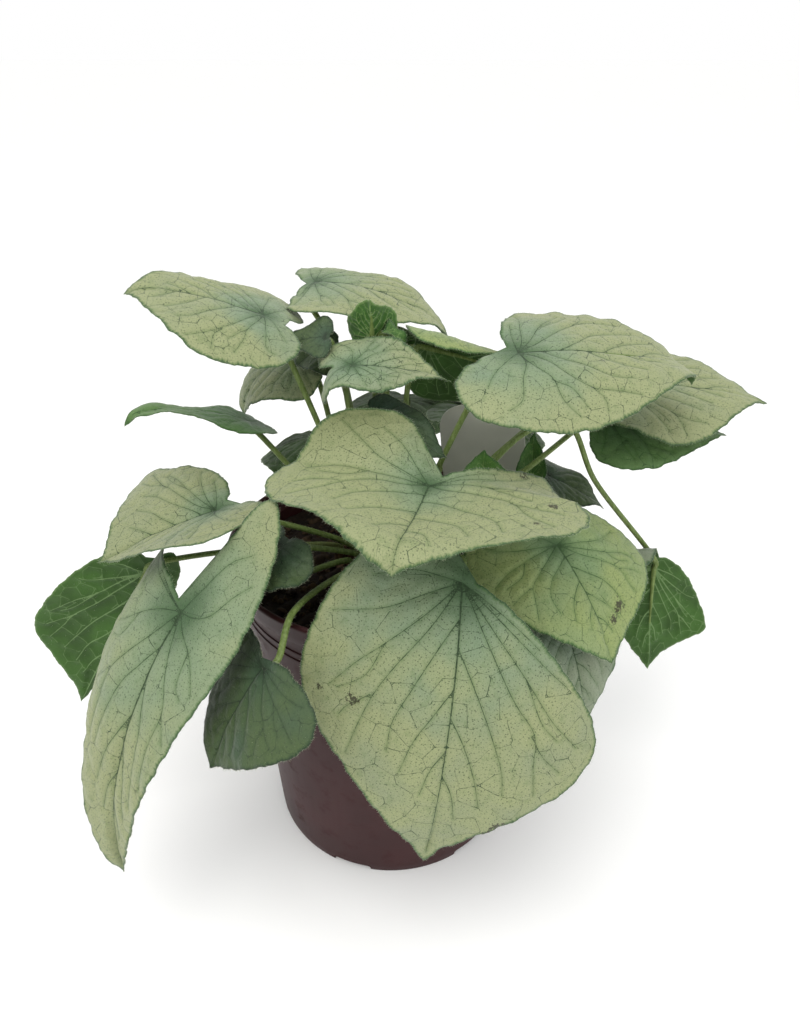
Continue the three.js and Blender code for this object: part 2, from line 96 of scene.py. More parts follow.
# %% Wrapped outputs and finishes
class Output:
    """One output of a node. Plain expressions on it add the nodes that work them out."""

    def __init__(self, finish, socket):
        self.finish = finish
        self.socket = socket

    def worked(self, way, first, second):
        kinds = {one.socket.type for one in (first, second) if isinstance(one, Output)}
        if "RGBA" in kinds:
            settings = {"data_type": "RGBA", "blend_type": way}
            return self.finish.node("ShaderNodeMix", settings, {0: 1.0, 6: first, 7: second}, 2)
        kind = "ShaderNodeVectorMath" if "VECTOR" in kinds else "ShaderNodeMath"
        return self.finish.node(kind, {"operation": way}, {0: first, 1: second})

    def __add__(self, other):
        return self.worked("ADD", self, other)

    def __radd__(self, other):
        return self.worked("ADD", other, self)

    def __sub__(self, other):
        return self.worked("SUBTRACT", self, other)

    def __rsub__(self, other):
        return self.worked("SUBTRACT", other, self)

    def __mul__(self, other):
        return self.worked("MULTIPLY", self, other)

    def __rmul__(self, other):
        return self.worked("MULTIPLY", other, self)

    def __truediv__(self, other):
        return self.worked("DIVIDE", self, other)

    def __rtruediv__(self, other):
        return self.worked("DIVIDE", other, self)


class Finish:
    """A material while it is being made."""

    def __init__(self, name):
        self.material = bpy.data.materials.new(name)
        self.material.use_nodes = True
        self.tree = self.material.node_tree
        self.tree.nodes.clear()

    def node(self, kind, settings=None, sockets=None, output=0):
        made = self.tree.nodes.new(kind)
        for name, value in (settings or {}).items():
            if name == "stops":
                self.set_stops(made.color_ramp, value)
            else:
                setattr(made, name, value)
        for name, value in (sockets or {}).items():
            self.feed(made.inputs[name], value)
        return Output(self, made.outputs[output]) if made.outputs else None

    def feed(self, socket, value):
        if isinstance(value, Output):
            self.tree.links.new(value.socket, socket)
        elif socket.type == "RGBA" and isinstance(value, (int, float)):
            socket.default_value = (value, value, value, 1.0)
        elif socket.type == "VECTOR" and isinstance(value, (int, float)):
            socket.default_value = (value, value, value)
        else:
            socket.default_value = value

    def set_stops(self, ramp, stops):
        while len(ramp.elements) > 1:
            ramp.elements.remove(ramp.elements[-1])
        for index, (place, colour) in enumerate(stops):
            stop = ramp.elements[0] if index == 0 else ramp.elements.new(place)
            stop.position = place
            stop.color = colour

    def read(self, attribute, output="Fac"):
        return self.node("ShaderNodeAttribute", {"attribute_name": attribute}, {}, output)

    def object_place(self):
        """Where each point of the piece lies, in metres."""
        return self.node("ShaderNodeTexCoord", {}, {}, "Object")

    def noise(self, place, scale, detail=3.0, roughness=0.5):
        sockets = {"Vector": place, "Scale": scale, "Detail": detail, "Roughness": roughness}
        return self.node("ShaderNodeTexNoise", {}, sockets, "Fac")

    def step(self, value, low, high):
        """0 below low and 1 above high, or the other way round, with a soft change between them."""
        settings = {"interpolation_type": "SMOOTHSTEP"}
        sockets = {"Value": value, "From Min": low, "From Max": high}
        return self.node("ShaderNodeMapRange", settings, sockets)

    def mix(self, share, first, second):
        return self.node("ShaderNodeMix", {"data_type": "RGBA"}, {0: share, 6: first, 7: second}, 2)

    def relief(self, height, distance, strength=1.0):
        sockets = {"Height": height, "Distance": distance, "Strength": strength}
        return self.node("ShaderNodeBump", {}, sockets)

    def close(self, **sockets):
        """Ends the tree with a Principled shader. Names are its sockets, with _ for each space."""
        named = {name.replace("_", " "): value for name, value in sockets.items()}
        shader = self.node("ShaderNodeBsdfPrincipled", {}, named)
        self.node("ShaderNodeOutputMaterial", {}, {"Surface": shader})
        return self.material


def tint(code, alpha=1.0):
    """The linear colour of six hexadecimal digits as they are seen on a screen."""
    parts = [int(code[i : i + 2], 16) / 255 for i in (0, 2, 4)]
    return (*(p / 12.92 if p < 0.04 else ((p + 0.055) / 1.055) ** 2.4 for p in parts), alpha)


print("a mid grey is", [round(part, 3) for part in tint("808080")])

# %% [markdown]
# ## Meshes from arrays
# Leaves, hairs and crumbs are thousands of small faces that follow a rule, which is quicker and clearer to
# work out with arrays than to model by hand. This helper turns such arrays into one smooth mesh,
# gives it its materials and any values that a shader reads per point, parents it to the empty of the body it
# rides on and hides the imported node it stands for. A few short functions after it take up what comes back
# in
# many of these sums: unit lengths, reading a table between its rows, rings and the faces between them.

# %% One piece from points and faces
def make_piece(name, points, faces, finishes, slot, replaces=None, which=None, values=None, flat_map=None):
    mesh = bpy.data.meshes.new(name)
    mesh.from_pydata(np.asarray(points).tolist(), [], [list(map(int, face)) for face in faces])
    for finish in finishes:
        mesh.materials.append(finish)
    if which is not None:
        mesh.polygons.foreach_set("material_index", np.asarray(which, dtype=np.int32))
    mesh.polygons.foreach_set("use_smooth", np.ones(len(mesh.polygons), dtype=bool))
    for label, array in (values or {}).items():
        array = np.asarray(array, dtype=np.float32)
        kind, field = ("FLOAT_VECTOR", "vector") if array.ndim == 2 else ("FLOAT", "value")
        mesh.attributes.new(label, kind, "POINT").data.foreach_set(field, array.ravel())
    if flat_map is not None:
        layer = mesh.uv_layers.new(name="OFBake")
        layer.data.foreach_set("uv", np.asarray(flat_map, dtype=np.float32).ravel())
    mesh.update()
    piece = bpy.data.objects.new(name, mesh)
    bpy.context.scene.collection.objects.link(piece)
    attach(piece, "root")
    if replaces:
        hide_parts(replaces)
    return piece


def unit(vectors):
    """The same directions, each with length 1."""
    return vectors / np.maximum(np.linalg.norm(vectors, axis=1), 1e-15)[:, None]


def length_of(path):
    return np.linalg.norm(np.diff(path, axis=0), axis=1).sum()


def left_of(path):
    """The direction to the left of a flat path, at each of its places."""
    tangent = np.gradient(path, axis=0)
    return np.stack([-tangent[:, 1], tangent[:, 0]], 1) / np.linalg.norm(tangent, axis=1)[:, None]


def between(x, runs, table):
    """The rows of a table read at x, where runs holds the x of each row."""
    return np.stack([np.interp(x, runs, table[:, k]) for k in range(table.shape[1])], axis=-1)


def bell(distance, spread):
    """1 where the distance is nought, falling softly to almost nothing at twice the spread."""
    return np.exp(-((distance / spread) ** 2))


def ring_at(radius, z, angles):
    """Places round the upright axis, at one radius."""
    x, y = radius * np.cos(angles), radius * np.sin(angles)
    return np.stack([x, y, np.broadcast_to(z, x.shape)], 1)


def bands(rings, sides, first=0, turned=False):
    """Four-cornered faces between rings of equally many points. Turned ones face the other way."""
    faces = []
    for i in range(rings - 1):
        a, b = first + i * sides, first + (i + 1) * sides
        for j in range(sides):
            k = (j + 1) % sides
            faces.append((a + j, b + j, b + k, a + k) if turned else (a + j, a + k, b + k, b + j))
    return faces


def one_mesh(bits):
    """Several pairs of points and faces as one pair, with the faces' numbers moved on."""
    starts = np.cumsum([0] + [len(points) for points, _ in bits])
    faces = [np.asarray(faces) + start for (_, faces), start in zip(bits, starts)]
    return np.vstack([points for points, _ in bits]), np.vstack(faces)


def smooth_path(points, count, power=0.5, dense=24):
    """Evenly spaced places on a smooth curve through the points. A power of 0.5 keeps tight turns tidy."""
    points = np.asarray(points, dtype=float)
    first = 2 * points[0] - points[1]
    last = 2 * points[-1] - points[-2]
    held = np.vstack([first, points, last])
    gaps = np.maximum(np.linalg.norm(np.diff(held, axis=0), axis=1), 1e-9) ** power
    shares = np.linspace(0, 1, dense, endpoint=False)[:, None]
    curve = []
    for i in range(len(points) - 1):
        a, b, c, d = held[i : i + 4]
        before, here, after = gaps[i : i + 3]
        leave = ((b - a) / before - (c - a) / (before + here) + (c - b) / here) * here
        arrive = ((c - b) / here - (d - b) / (here + after) + (d - c) / after) * here
        cubic = (2 * b - 2 * c + leave + arrive) * shares**3
        cubic += (3 * c - 3 * b - 2 * leave - arrive) * shares**2
        curve.append(cubic + leave * shares + b)
    curve = np.vstack([*curve, points[-1:]])
    run = np.concatenate([[0], np.cumsum(np.linalg.norm(np.diff(curve, axis=0), axis=1))])
    wanted = np.linspace(0, run[-1], count)
    return between(wanted, run, curve)


print("helpers ready")

# %% [markdown]
# ## The leaves' measures
# Each leaf of a brunnera is a heart on a long stalk, and no two are alike. A leaf could be sculpted, but
# then every one would be made by hand. Here a leaf is a flat heart with a few numbers that bend it: where
# its stalk joins, which way it heads, how it droops, curls, folds and twists. They are the same numbers as
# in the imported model, so the finer leaves lie where the plain ones do. Angles are in degrees. Where a
# value has two numbers, the first is the left half's.

# %% Leaf measures
LEAF_THICKNESS = 0.0006
STALK_RADIUS = 0.0017
CROWN_TOP = 0.174
SOCKET_DEPTH = 0.009
SEAT_GAP = 0.0003

# Shares of the length ahead of the joint, and of the half width, from the notch round to the tip.
HALF_HEART = [
    (-0.2, 0.09), (-0.31, 0.27), (-0.34, 0.5), (-0.27, 0.75), (-0.09, 0.94), (0.13, 1.0),
    (0.37, 0.88), (0.6, 0.63), (0.8, 0.33), (0.93, 0.1), (1.0, 0.0),
]

LEAVES = {
    "leaf_front": dict(
        at=(0.032, -0.075, 0.207), heading=-95, pitch=46, roll=-4, length=0.139, width=0.138,
        bend=50, sweep=-8, fold=(5, 5), curl=(35, 30), back=55, lobe=(0.2, 0.8), skew=(0.9, 0.5),
        foot=(0.007, -0.022),
    ),
    "leaf_centre": dict(
        at=(0.018, -0.045, 0.238), heading=-105, pitch=5, roll=1, length=0.066,
        width=(0.11, 0.115), bend=-20, hook=120, twist=62, fold=(10, 18), curl=(16, 25), back=-35,
        lobe=(0.4, 1.4), skew=(-0.3, -0.2), full=(1.35, 1.15), foot=(0.006, -0.013),
    ),
    "leaf_upper_left": dict(
        at=(-0.058, 0.012, 0.297), heading=-168, pitch=-24, roll=-10, length=0.064, width=0.076,
        bend=15, hook=50, fold=(5, 5), curl=(30, 30), back=10, lobe=(0.8, 1), full=(0.7, 0),
        foot=(-0.014, 0.003),
    ),
    "leaf_upper_back": dict(
        at=(-0.039, 0.065, 0.2985), heading=-13, pitch=-4, roll=5, length=0.08,
        width=(0.072, 0.08), bend=45, hook=20, fold=(5, 5), curl=(30, 15), back=10,
        lobe=(0.55, 0.2), foot=(-0.012, 0.018), via=[(-0.028, 0.056, 0.262)],
    ),
    "leaf_middle": dict(
        at=(-0.017, -0.005, 0.279), heading=-8, pitch=-5, roll=0, length=0.046,
        width=(0.038, 0.03), bend=25, fold=(25, -5), curl=(0, 50), back=50, lobe=(1, 1.6),
        foot=(-0.005, 0.0),
    ),
    "leaf_back_left": dict(
        at=(-0.045, 0.04, 0.266), heading=-170, pitch=0, roll=-12, length=0.052, width=0.058,
        bend=90, fold=(10, 10), curl=(40, 40), back=10, lobe=(0.5, 0.5), foot=(-0.02, 0.009),
    ),
    "leaf_behind_left": dict(
        at=(-0.028, 0.031, 0.274), heading=-175, pitch=5, roll=-20, length=0.022, width=0.034,
        bend=40, fold=(10, 10), curl=(40, 40), back=10, lobe=(0.4, 0.4), foot=(-0.012, 0.012),
        tone="shaded",
    ),
    "leaf_left_edge": dict(
        at=(-0.07, 0.014, 0.242), heading=-171, pitch=-24, roll=10, length=0.064, width=0.034,
        bend=30, hook=60, fold=(5, 5), curl=(20, 20), back=10, lobe=(0.6, 0.6),
        foot=(-0.024, 0.007), tone="shaded",
    ),
    "leaf_left": dict(
        at=(-0.082, -0.028, 0.215), heading=-162, pitch=10, roll=-14, length=0.06,
        width=(0.08, 0.092), bend=20, fold=(34, 0), curl=(10, 20), back=0, lobe=(1, 0.6),
        skew=(0, 0.2), full=(0, 1.6), foot=(-0.019, -0.004),
    ),
    "leaf_far_left": dict(
        at=(-0.124, -0.02, 0.174), heading=180, pitch=60, roll=90, length=0.092,
        width=(0.076, 0.034), bend=15, fold=(5, 5), curl=(20, 20), back=10, lobe=(0.6, 0.6),
        skew=(0.9, 0), full=(0.5, 0), foot=(-0.026, -0.004),
    ),
    "leaf_big_left": dict(
        at=(-0.091, -0.075, 0.191), heading=-105, pitch=45, aim=-20, length=0.152,
        width=(0.074, 0.09), bend=55, sweep=14, fold=(25, 5), curl=(20, 70), back=-10,
        lobe=(1.15, 0.1), skew=(-0.25, -0.35), full=(-0.4, -0.1), foot=(-0.02, -0.017),
        via=[(-0.062, -0.054, 0.1885)],
    ),
    "leaf_low_left": dict(
        at=(-0.053, -0.096, 0.178), heading=-150, pitch=45, roll=0, length=0.054, width=0.084,
        bend=25, fold=(5, 5), curl=(30, 30), back=0, lobe=(0.5, 0.2), foot=(-0.013, -0.023),
        tone="shaded", via=[(-0.042, -0.074, 0.19)],
    ),
    "leaf_shade": dict(
        at=(-0.05, -0.052, 0.212), heading=-142, pitch=12, roll=0, length=0.042, width=0.05,
        bend=35, fold=(5, 5), curl=(30, 30), back=0, lobe=(0.6, 0.6), foot=(-0.011, -0.015),
        tone="shaded",
    ),
    "leaf_right": dict(
        at=(0.078, -0.044, 0.206), heading=-58, pitch=24, roll=2, length=0.06, width=0.092,
        bend=40, fold=(5, 5), curl=(30, 30), back=0, skew=(0.25, -0.2), foot=(0.017, -0.011),
    ),
    "leaf_hanging": dict(
        at=(0.08, -0.062, 0.18), heading=-60, pitch=49, roll=0, length=0.056, width=0.07, bend=30,
        fold=(5, 5), curl=(30, 30), back=0, foot=(0.019, -0.018), via=[(0.062, -0.05, 0.192)],
    ),
    "leaf_far_right": dict(
        at=(0.149, 0.02, 0.149), heading=93, pitch=104, length=0.062, width=(0.06, 0.066), bend=10,
        fold=(5, 5), curl=(10, 10), back=85, lobe=(1.4, 0.7), skew=(-0.3, 1), foot=(0.024, 0.001),
        via=[(0.066, 0.007, 0.238), (0.088, 0.01, 0.243), (0.107, 0.013, 0.209)],
    ),
    "leaf_upper_right": dict(
        at=(0.059, -0.005, 0.285), heading=7, pitch=-2, roll=9, length=0.096, width=0.098, bend=20,
        hook=60, fold=(5, 5), curl=(20, 50), back=0, lobe=(0.3, 1), skew=(0.3, 0),
        foot=(0.009, 0.001),
    ),
    "leaf_right_top": dict(
        at=(0.113, 0.05, 0.25), heading=-14, pitch=-6, roll=10, length=0.086, width=(0.096, 0.086),
        bend=20, fold=(5, 5), curl=(30, 30), back=0, skew=(0, 0.6), full=(0, 0.3),
        foot=(0.015, 0.009), via=[(0.064, 0.024, 0.226)],
    ),
    "leaf_right_under": dict(
        at=(0.116, 0.042, 0.2345), heading=-8, pitch=0, roll=14, length=0.066, width=(0.074, 0.08),
        bend=20, fold=(5, 5), curl=(30, 30), back=0, lobe=(0.4, 0.4), foot=(0.021, 0.006),
        tone="shaded", via=[(0.07, 0.014, 0.214)],
    ),
    "leaf_behind_right": dict(
        at=(0.02, 0.036, 0.274), heading=-10, pitch=12, roll=-70, length=0.06, width=0.066,
        bend=10, fold=(0, 0), curl=(10, 100), back=0, lobe=(0.6, 0.6), foot=(0.005, 0.016),
    ),
    "leaf_behind_centre": dict(
        at=(-0.008, -0.004, 0.253), heading=-30, pitch=10, roll=20, length=0.042,
        width=(0.036, 0.048), bend=20, fold=(5, 5), curl=(20, 20), back=0, lobe=(0.4, 0.4),
        foot=(0.002, -0.006), tone="shaded",
    ),
    "leaf_young_front": dict(
        at=(0.046, -0.014, 0.213), heading=95, pitch=-70, roll=0, length=0.026, width=0.034,
        bend=-30, fold=(10, 10), curl=(0, 0), back=0, foot=(0.014, -0.004), tone="young",
    ),
    "leaf_young_fan": dict(
        at=(-0.008, 0.018, 0.284), heading=-90, pitch=-70, roll=0, length=0.025, width=0.028,
        bend=20, fold=(30, 30), curl=(0, 0), back=0, foot=(-0.003, 0.008), tone="young",
    ),
    "leaf_young_dark": dict(
        at=(-0.03, 0.014, 0.286), heading=175, pitch=5, roll=-30, length=0.02, width=0.024,
        bend=20, fold=(10, 10), curl=(20, 20), back=0, lobe=(0.5, 0.5), foot=(-0.008, 0.007),
        tone="shaded",
    ),
    "leaf_young_narrow": dict(
        at=(-0.001, 0.016, 0.288), heading=-5, pitch=35, roll=20, length=0.015, width=0.012,
        bend=30, fold=(30, 30), curl=(0, 0), back=0, lobe=(0.4, 0.4), foot=(0.003, 0.005),
        tone="young",
    ),
    "leaf_pale_behind": dict(
        at=(0.002, 0.053, 0.268), heading=0, pitch=-10, roll=-50, length=0.03, width=0.03, bend=20,
        fold=(10, 10), curl=(20, 20), back=0, lobe=(0.5, 0.5), foot=(0.0, 0.017),
    ),
    "leaf_young_right": dict(
        at=(0.075, 0.022, 0.206), heading=80, pitch=-62, roll=0, length=0.024, width=0.018,
        bend=-20, fold=(30, 30), curl=(0, 0), back=0, lobe=(0.5, 0.5), foot=(0.024, 0.01),
        tone="young",
    ),
    "leaf_grey_behind": dict(
        at=(0.088, 0.04, 0.197), heading=-12, pitch=18, roll=10, length=0.038, width=0.034,
        bend=20, fold=(10, 10), curl=(30, 30), back=0, lobe=(0.5, 0.5), foot=(0.021, 0.015),
        tone="shaded", via=[(0.072, 0.03, 0.184)],
    ),
    "leaf_back_left_low": dict(
        at=(-0.046, 0.078, 0.204), heading=116, pitch=34, roll=0, length=0.07, width=0.066,
        bend=50, fold=(5, 5), curl=(30, 30), back=0, lobe=(0.7, 0.7), foot=(-0.017, 0.021),
        via=[(-0.034, 0.056, 0.2)],
    ),
    "leaf_back_middle": dict(
        at=(0.01, 0.092, 0.222), heading=88, pitch=28, roll=0, length=0.082, width=0.078, bend=55,
        fold=(5, 5), curl=(30, 30), back=0, foot=(0.003, 0.024), via=[(0.004, 0.066, 0.214)],
    ),
    "leaf_back_right_low": dict(
        at=(0.056, 0.086, 0.212), heading=62, pitch=32, roll=0, length=0.07, width=0.076, bend=50,
        fold=(5, 5), curl=(30, 30), back=0, foot=(0.013, 0.018), via=[(0.038, 0.06, 0.208)],
    ),
}
print(len(LEAVES), "leaves, the longest", max(leaf["length"] for leaf in LEAVES.values()), "m")

# %% [markdown]
# ## Bending a flat leaf
# Paper cut to a heart and then bent makes a good leaf, because blade, veins and spots all bend together.
# The midrib is followed in small steps, turning a little at each one, and the halves rise or fall from it
# as an arc. Doing this with formulas instead of modifiers means that any flat place, a vein's or
# a hair's, can be sent to its place in the air.

# %% The midrib and the bend
def pair(leaf, name, usual):
    value = leaf.get(name, usual)
    return value if isinstance(value, tuple) else (value, value)


MIDRIB_STEP = 0.0005
# The lobes reach this share of the length behind the joint, and the hook bends as long a share at the tip.
END_SHARE = 0.34
CURL_STEPS = 16


def midrib(leaf):
    """Places and directions along the midrib, from behind the joint to past the tip, in the leaf's frame."""
    length = leaf["length"]
    runs = np.arange(-0.75 * length, 1.06 * length, MIDRIB_STEP)
    share = runs / length
    ahead = np.maximum(share, 0)
    behind = np.maximum(-share, 0) / END_SHARE
    last = np.maximum(ahead - (1 - END_SHARE), 0) / END_SHARE
    down = np.radians(leaf.get("bend", 0) * ahead + leaf.get("hook", 0) * last**2)
    down = down - np.radians(leaf.get("back", 0) * behind)
    left = np.radians(leaf.get("sweep", 0) * ahead)
    roll = np.radians(leaf.get("twist", 0) * np.minimum(share, 0))
    along = np.stack([np.cos(down) * np.cos(left), np.cos(down) * np.sin(left), -np.sin(down)], axis=1)
    steps = 0.5 * (along[1:] + along[:-1]) * np.diff(runs)[:, None]
    places = np.vstack([np.zeros(3), np.cumsum(steps, axis=0)])
    start = between(0, runs, places)
    level = np.stack([-np.sin(left), np.cos(left), np.zeros_like(left)], axis=1)
    side = level * np.cos(roll)[:, None] + np.cross(along, level) * np.sin(roll)[:, None]
    return runs, places - start, side, np.cross(along, side)


def turned_frame(leaf):
    """The three axes of the leaf's frame, as columns."""
    heading, pitch = math.radians(leaf["heading"]), math.radians(leaf.get("pitch", 0))
    roll, aim = math.radians(leaf.get("roll", 0)), math.radians(leaf.get("aim", 0))

    def about(axis, angle):
        c, s = math.cos(angle), math.sin(angle)
        turns = {"x": [[1, 0, 0], [0, c, -s], [0, s, c]], "y": [[c, 0, s], [0, 1, 0], [-s, 0, c]]}
        return np.array(turns.get(axis, [[c, -s, 0], [s, c, 0], [0, 0, 1]]))

    return about("z", heading) @ about("y", pitch) @ about("x", roll) @ about("z", aim)


def bent(leaf, flat, lift=0.0):
    """Where flat places (x ahead, y to the left) lie in the air, lifted off the blade by so much."""
    runs, places, sides, ups = midrib(leaf)
    x, y = flat[:, 0], flat[:, 1]
    place, side, up = (between(x, runs, table) for table in (places, sides, ups))
    left = y >= 0
    fold = np.radians(np.where(left, *pair(leaf, "fold", 0)))
    curl = np.radians(np.where(left, *pair(leaf, "curl", 0)))
    half = np.where(left, *pair(leaf, "width", 0)) / 2
    reach = np.abs(y)
    out = np.zeros_like(y)
    rise = np.zeros_like(y)
    for i in range(CURL_STEPS):
        slope = fold - curl * ((i + 0.5) / CURL_STEPS) * reach / half
        out += np.cos(slope) * reach / CURL_STEPS
        rise += np.sin(slope) * reach / CURL_STEPS
    out = np.where(left, out, -out)
    in_leaf = place + side * out[:, None] + up * (rise + lift)[:, None]
    return in_leaf @ turned_frame(leaf).T + np.array(leaf["at"])


tip = bent(LEAVES["leaf_front"], np.array([[LEAVES["leaf_front"]["length"], 0.0]]))[0]
print("the front leaf's tip is at", tip.round(3))

# %% [markdown]
# ## The outline and the vein pattern
# A brunnera's veins start together at the stalk. The midrib runs to the tip, a few strong side veins arch
# away from it, and fine veins join them in a net of uneven cells. The strong ones are drawn here as curves
# in shares of the blade, so they fit every leaf. The net is the border between scattered seeds: each point
# belongs to its nearest seed, as in real veins that grow towards each other until they meet. Seeds set in
# pairs beside the strong veins make the net end on them.

# %% Outline and strong veins
FAN_VEINS = [
    [(0.0, 0.0), (0.1, 0.17), (0.2, 0.37), (0.29, 0.52), (0.4, 0.56), (0.52, 0.6)],
    [(0.0, 0.0), (0.05, 0.2), (0.11, 0.45), (0.15, 0.66), (0.2, 0.82)],
    [(0.0, 0.0), (0.0, 0.2), (-0.02, 0.45), (-0.06, 0.65), (-0.12, 0.78)],
    [(0.0, 0.0), (-0.07, 0.13), (-0.15, 0.33), (-0.2, 0.52)],
]
SIDE_VEINS = [
    [(0.2, 0.0), (0.28, 0.13), (0.38, 0.27), (0.5, 0.37), (0.6, 0.4)],
    [(0.42, 0.0), (0.49, 0.1), (0.58, 0.2), (0.69, 0.26)],
    [(0.62, 0.0), (0.69, 0.08), (0.78, 0.13)],
]
FORKS = [
    [(0.29, 0.52), (0.33, 0.64), (0.36, 0.76)],
    [(0.11, 0.45), (0.2, 0.58), (0.24, 0.7)],
]
SIDE_VEIN_SHIFT = -0.09
MIDRIB_HALF_WIDTH = 0.00062
SIDE_HALF_WIDTH = 0.0003
THIN_HALF_WIDTH = 0.00014
NET_HALF_WIDTH = 0.00017
FORK_WIDTH_SHARE = 0.7
# Dips of the margin: how long each wave is and how deep, and how far from the notch they start.
MARGIN_DIPS = ((0.011, 0.00022), (0.0053, 0.00013), (0.0029, 0.00008))
DIPS_START = 0.006


def on_blade(leaf, shares, hand):
    """Flat places from (length share, half-width share) on the left half, hand 0, or the right one."""
    a, b = np.asarray(shares, dtype=float).T
    lobe, skew = pair(leaf, "lobe", 1)[hand], pair(leaf, "skew", 0)[hand]
    full, half = pair(leaf, "full", 0)[hand], pair(leaf, "width", 0)[hand] / 2
    ahead = np.maximum(a, 0)
    y = b * half * (1 + 4 * full * ahead**2 * (1 - a))
    x = leaf["length"] * np.where(a < 0, a * lobe, a) + skew * y * (1 - ahead)
    return np.stack([x, -y if hand else y], axis=1)


def outline(leaf, spacing, chance):
    """The margin, from the left side of the notch by the tip to the right side, with small uneven dips."""
    halves = []
    for hand in (0, 1):
        places = on_blade(leaf, HALF_HEART, hand)
        rough = smooth_path(places, 300, power=0)
        halves.append(smooth_path(places, max(16, round(length_of(rough) / spacing)), power=0))
    edge = np.vstack([halves[0], halves[1][:-1][::-1]])
    around = np.cumsum(np.linalg.norm(np.diff(edge, axis=0, prepend=edge[:1]), axis=1))
    shift = sum(
        np.sin(around / wave * 2 * math.pi + chance.uniform(0, 6.3)) * depth for wave, depth in MARGIN_DIPS
    )
    calm = np.clip(np.minimum(around, around[-1] - around) / DIPS_START, 0, 1)
    return edge + left_of(edge) * (shift * calm)[:, None], around


def strong_veins(leaf, chance):
    """Lists of (flat places, half width at the start, half width at the end)."""
    size = min(1.0, 0.55 + leaf["length"] / 0.2)
    length = leaf["length"]
    ribs = [(np.array([[0, 0], [0.5 * length, 0], [0.96 * length, 0]]), MIDRIB_HALF_WIDTH, THIN_HALF_WIDTH)]
    for hand in (0, 1):
        for number, shares in enumerate(FAN_VEINS + SIDE_VEINS + FORKS):
            from_midrib = len(FAN_VEINS) <= number < len(FAN_VEINS) + len(SIDE_VEINS)
            forked = number >= len(FAN_VEINS) + len(SIDE_VEINS)
            shift = SIDE_VEIN_SHIFT * hand * from_midrib
            moved = [
                (a + shift + chance.uniform(-0.015, 0.015) * (b > 0), b * chance.uniform(0.92, 1.05))
                for a, b in shares
            ]
            if forked:
                moved[0] = shares[0]
            width = SIDE_HALF_WIDTH * (FORK_WIDTH_SHARE if forked else 1.0)
            ribs.append((on_blade(leaf, moved, hand), width, THIN_HALF_WIDTH))
    return [(smooth_path(path, 24), size * wide, size * thin) for path, wide, thin in ribs]


chance = np.random.default_rng(1)
print(len(strong_veins(LEAVES["leaf_front"], chance)), "strong veins on a leaf")

# %% [markdown]
# ## The net of fine veins
# Blender's flat triangulation joins each seed to its neighbours. The middles of the circles through its
# triangles are the corners of the net, and two triangles that share a side give one fine vein.

# %% Fine veins
SEED_TRIES = 1500
# Room for the seeds is made at once. The places that aren't used yet lie far away.
SEED_ROOM = 3000
FAR_AWAY = 9.0
THREADS_LEFT_OUT = 0.22


def inside(points, loop):
    """Which flat points lie inside a closed loop, by counting how often a ray crosses it."""
    x, y = points[:, :1], points[:, 1:]
    x1, y1 = loop[:, 0], loop[:, 1]
    x2, y2 = np.roll(x1, -1), np.roll(y1, -1)
    rise = np.where(y2 == y1, 1e-12, y2 - y1)
    crosses = ((y1 > y) != (y2 > y)) & (x < (x2 - x1) * (y - y1) / rise + x1)
    return crosses.sum(axis=1) % 2 == 1


def tree_of(targets):
    """A search tree of flat places, which finds the nearest one quickly."""
    tree = KDTree(len(targets))
    for number, (x, y) in enumerate(np.asarray(targets)[:, :2].tolist()):
        tree.insert((x, y, 0.0), number)
    tree.balance()
    return tree


def nearest(points, tree):
    """Distance from each point to its nearest place in the tree, and that place's number."""
    found = [tree.find((x, y, 0.0)) for x, y in points]
    return np.array([hit[2] for hit in found]), np.array([hit[1] for hit in found])


def fine_veins(leaf, edge, ribs, chance):
    """Short straight veins as pairs of flat ends, between seeds that keep apart by about one cell."""
    cell = min(0.0105, 0.0045 + leaf["length"] * 0.045)
    seeds = np.full((SEED_ROOM, 2), FAR_AWAY)
    count = 0

    def keep_apart(seed, room):
        nonlocal count
        if ((seeds[:count] - seed) ** 2).sum(axis=1).min(initial=FAR_AWAY) > room * room:
            seeds[count] = seed
            count += 1

    for path, _, _ in ribs:
        reach = np.linalg.norm(path[-1] - path[0])
        stops = smooth_path(path, max(2, round(reach / (0.9 * cell))))
        for stop, away in zip(stops[:-1] + np.diff(stops, axis=0) / 2, left_of(stops)):
            for seed in (stop + away * 0.38 * cell, stop - away * 0.38 * cell):
                keep_apart(seed, 0.5 * cell)
    low, high = edge.min(axis=0) - cell, edge.max(axis=0) + cell
    tries = chance.uniform(low, high, size=(SEED_TRIES, 2))
    gap, _ = nearest(tries, tree_of(edge))
    for seed, distance in zip(tries, gap):
        keep_apart(seed, cell * min(1.0, 0.55 + distance / 0.03))
    points, _, faces, *_ = delaunay_2d_cdt([Vector(seed) for seed in seeds[:count]], [], [], 0, 1e-7)
    points = np.array([tuple(point) for point in points])
    middles, sharing = [], {}
    for number, (a, b, c) in enumerate(faces):
        pa, pb, pc = points[a], points[b], points[c]
        ab, ac = pb - pa, pc - pa
        area = 2 * (ab[0] * ac[1] - ab[1] * ac[0])
        area = area if abs(area) > 1e-12 else 1e-12
        across = np.array([ac[1] * (ab @ ab) - ab[1] * (ac @ ac), ab[0] * (ac @ ac) - ac[0] * (ab @ ab)])
        middles.append(pa + across / area)
        for side in ((a, b), (b, c), (c, a)):
            sharing.setdefault(tuple(sorted(side)), []).append(number)
    pairs = [tuple(both) for both in sharing.values() if len(both) == 2]
    return [(middles[i], middles[j]) for i, j in pairs if chance.random() > THREADS_LEFT_OUT]


print("fine veins for one leaf:", end=" ")
chance = np.random.default_rng(2)
edge, _ = outline(LEAVES["leaf_front"], 0.0016, chance)
print(len(fine_veins(LEAVES["leaf_front"], edge, strong_veins(LEAVES["leaf_front"], chance), chance)))

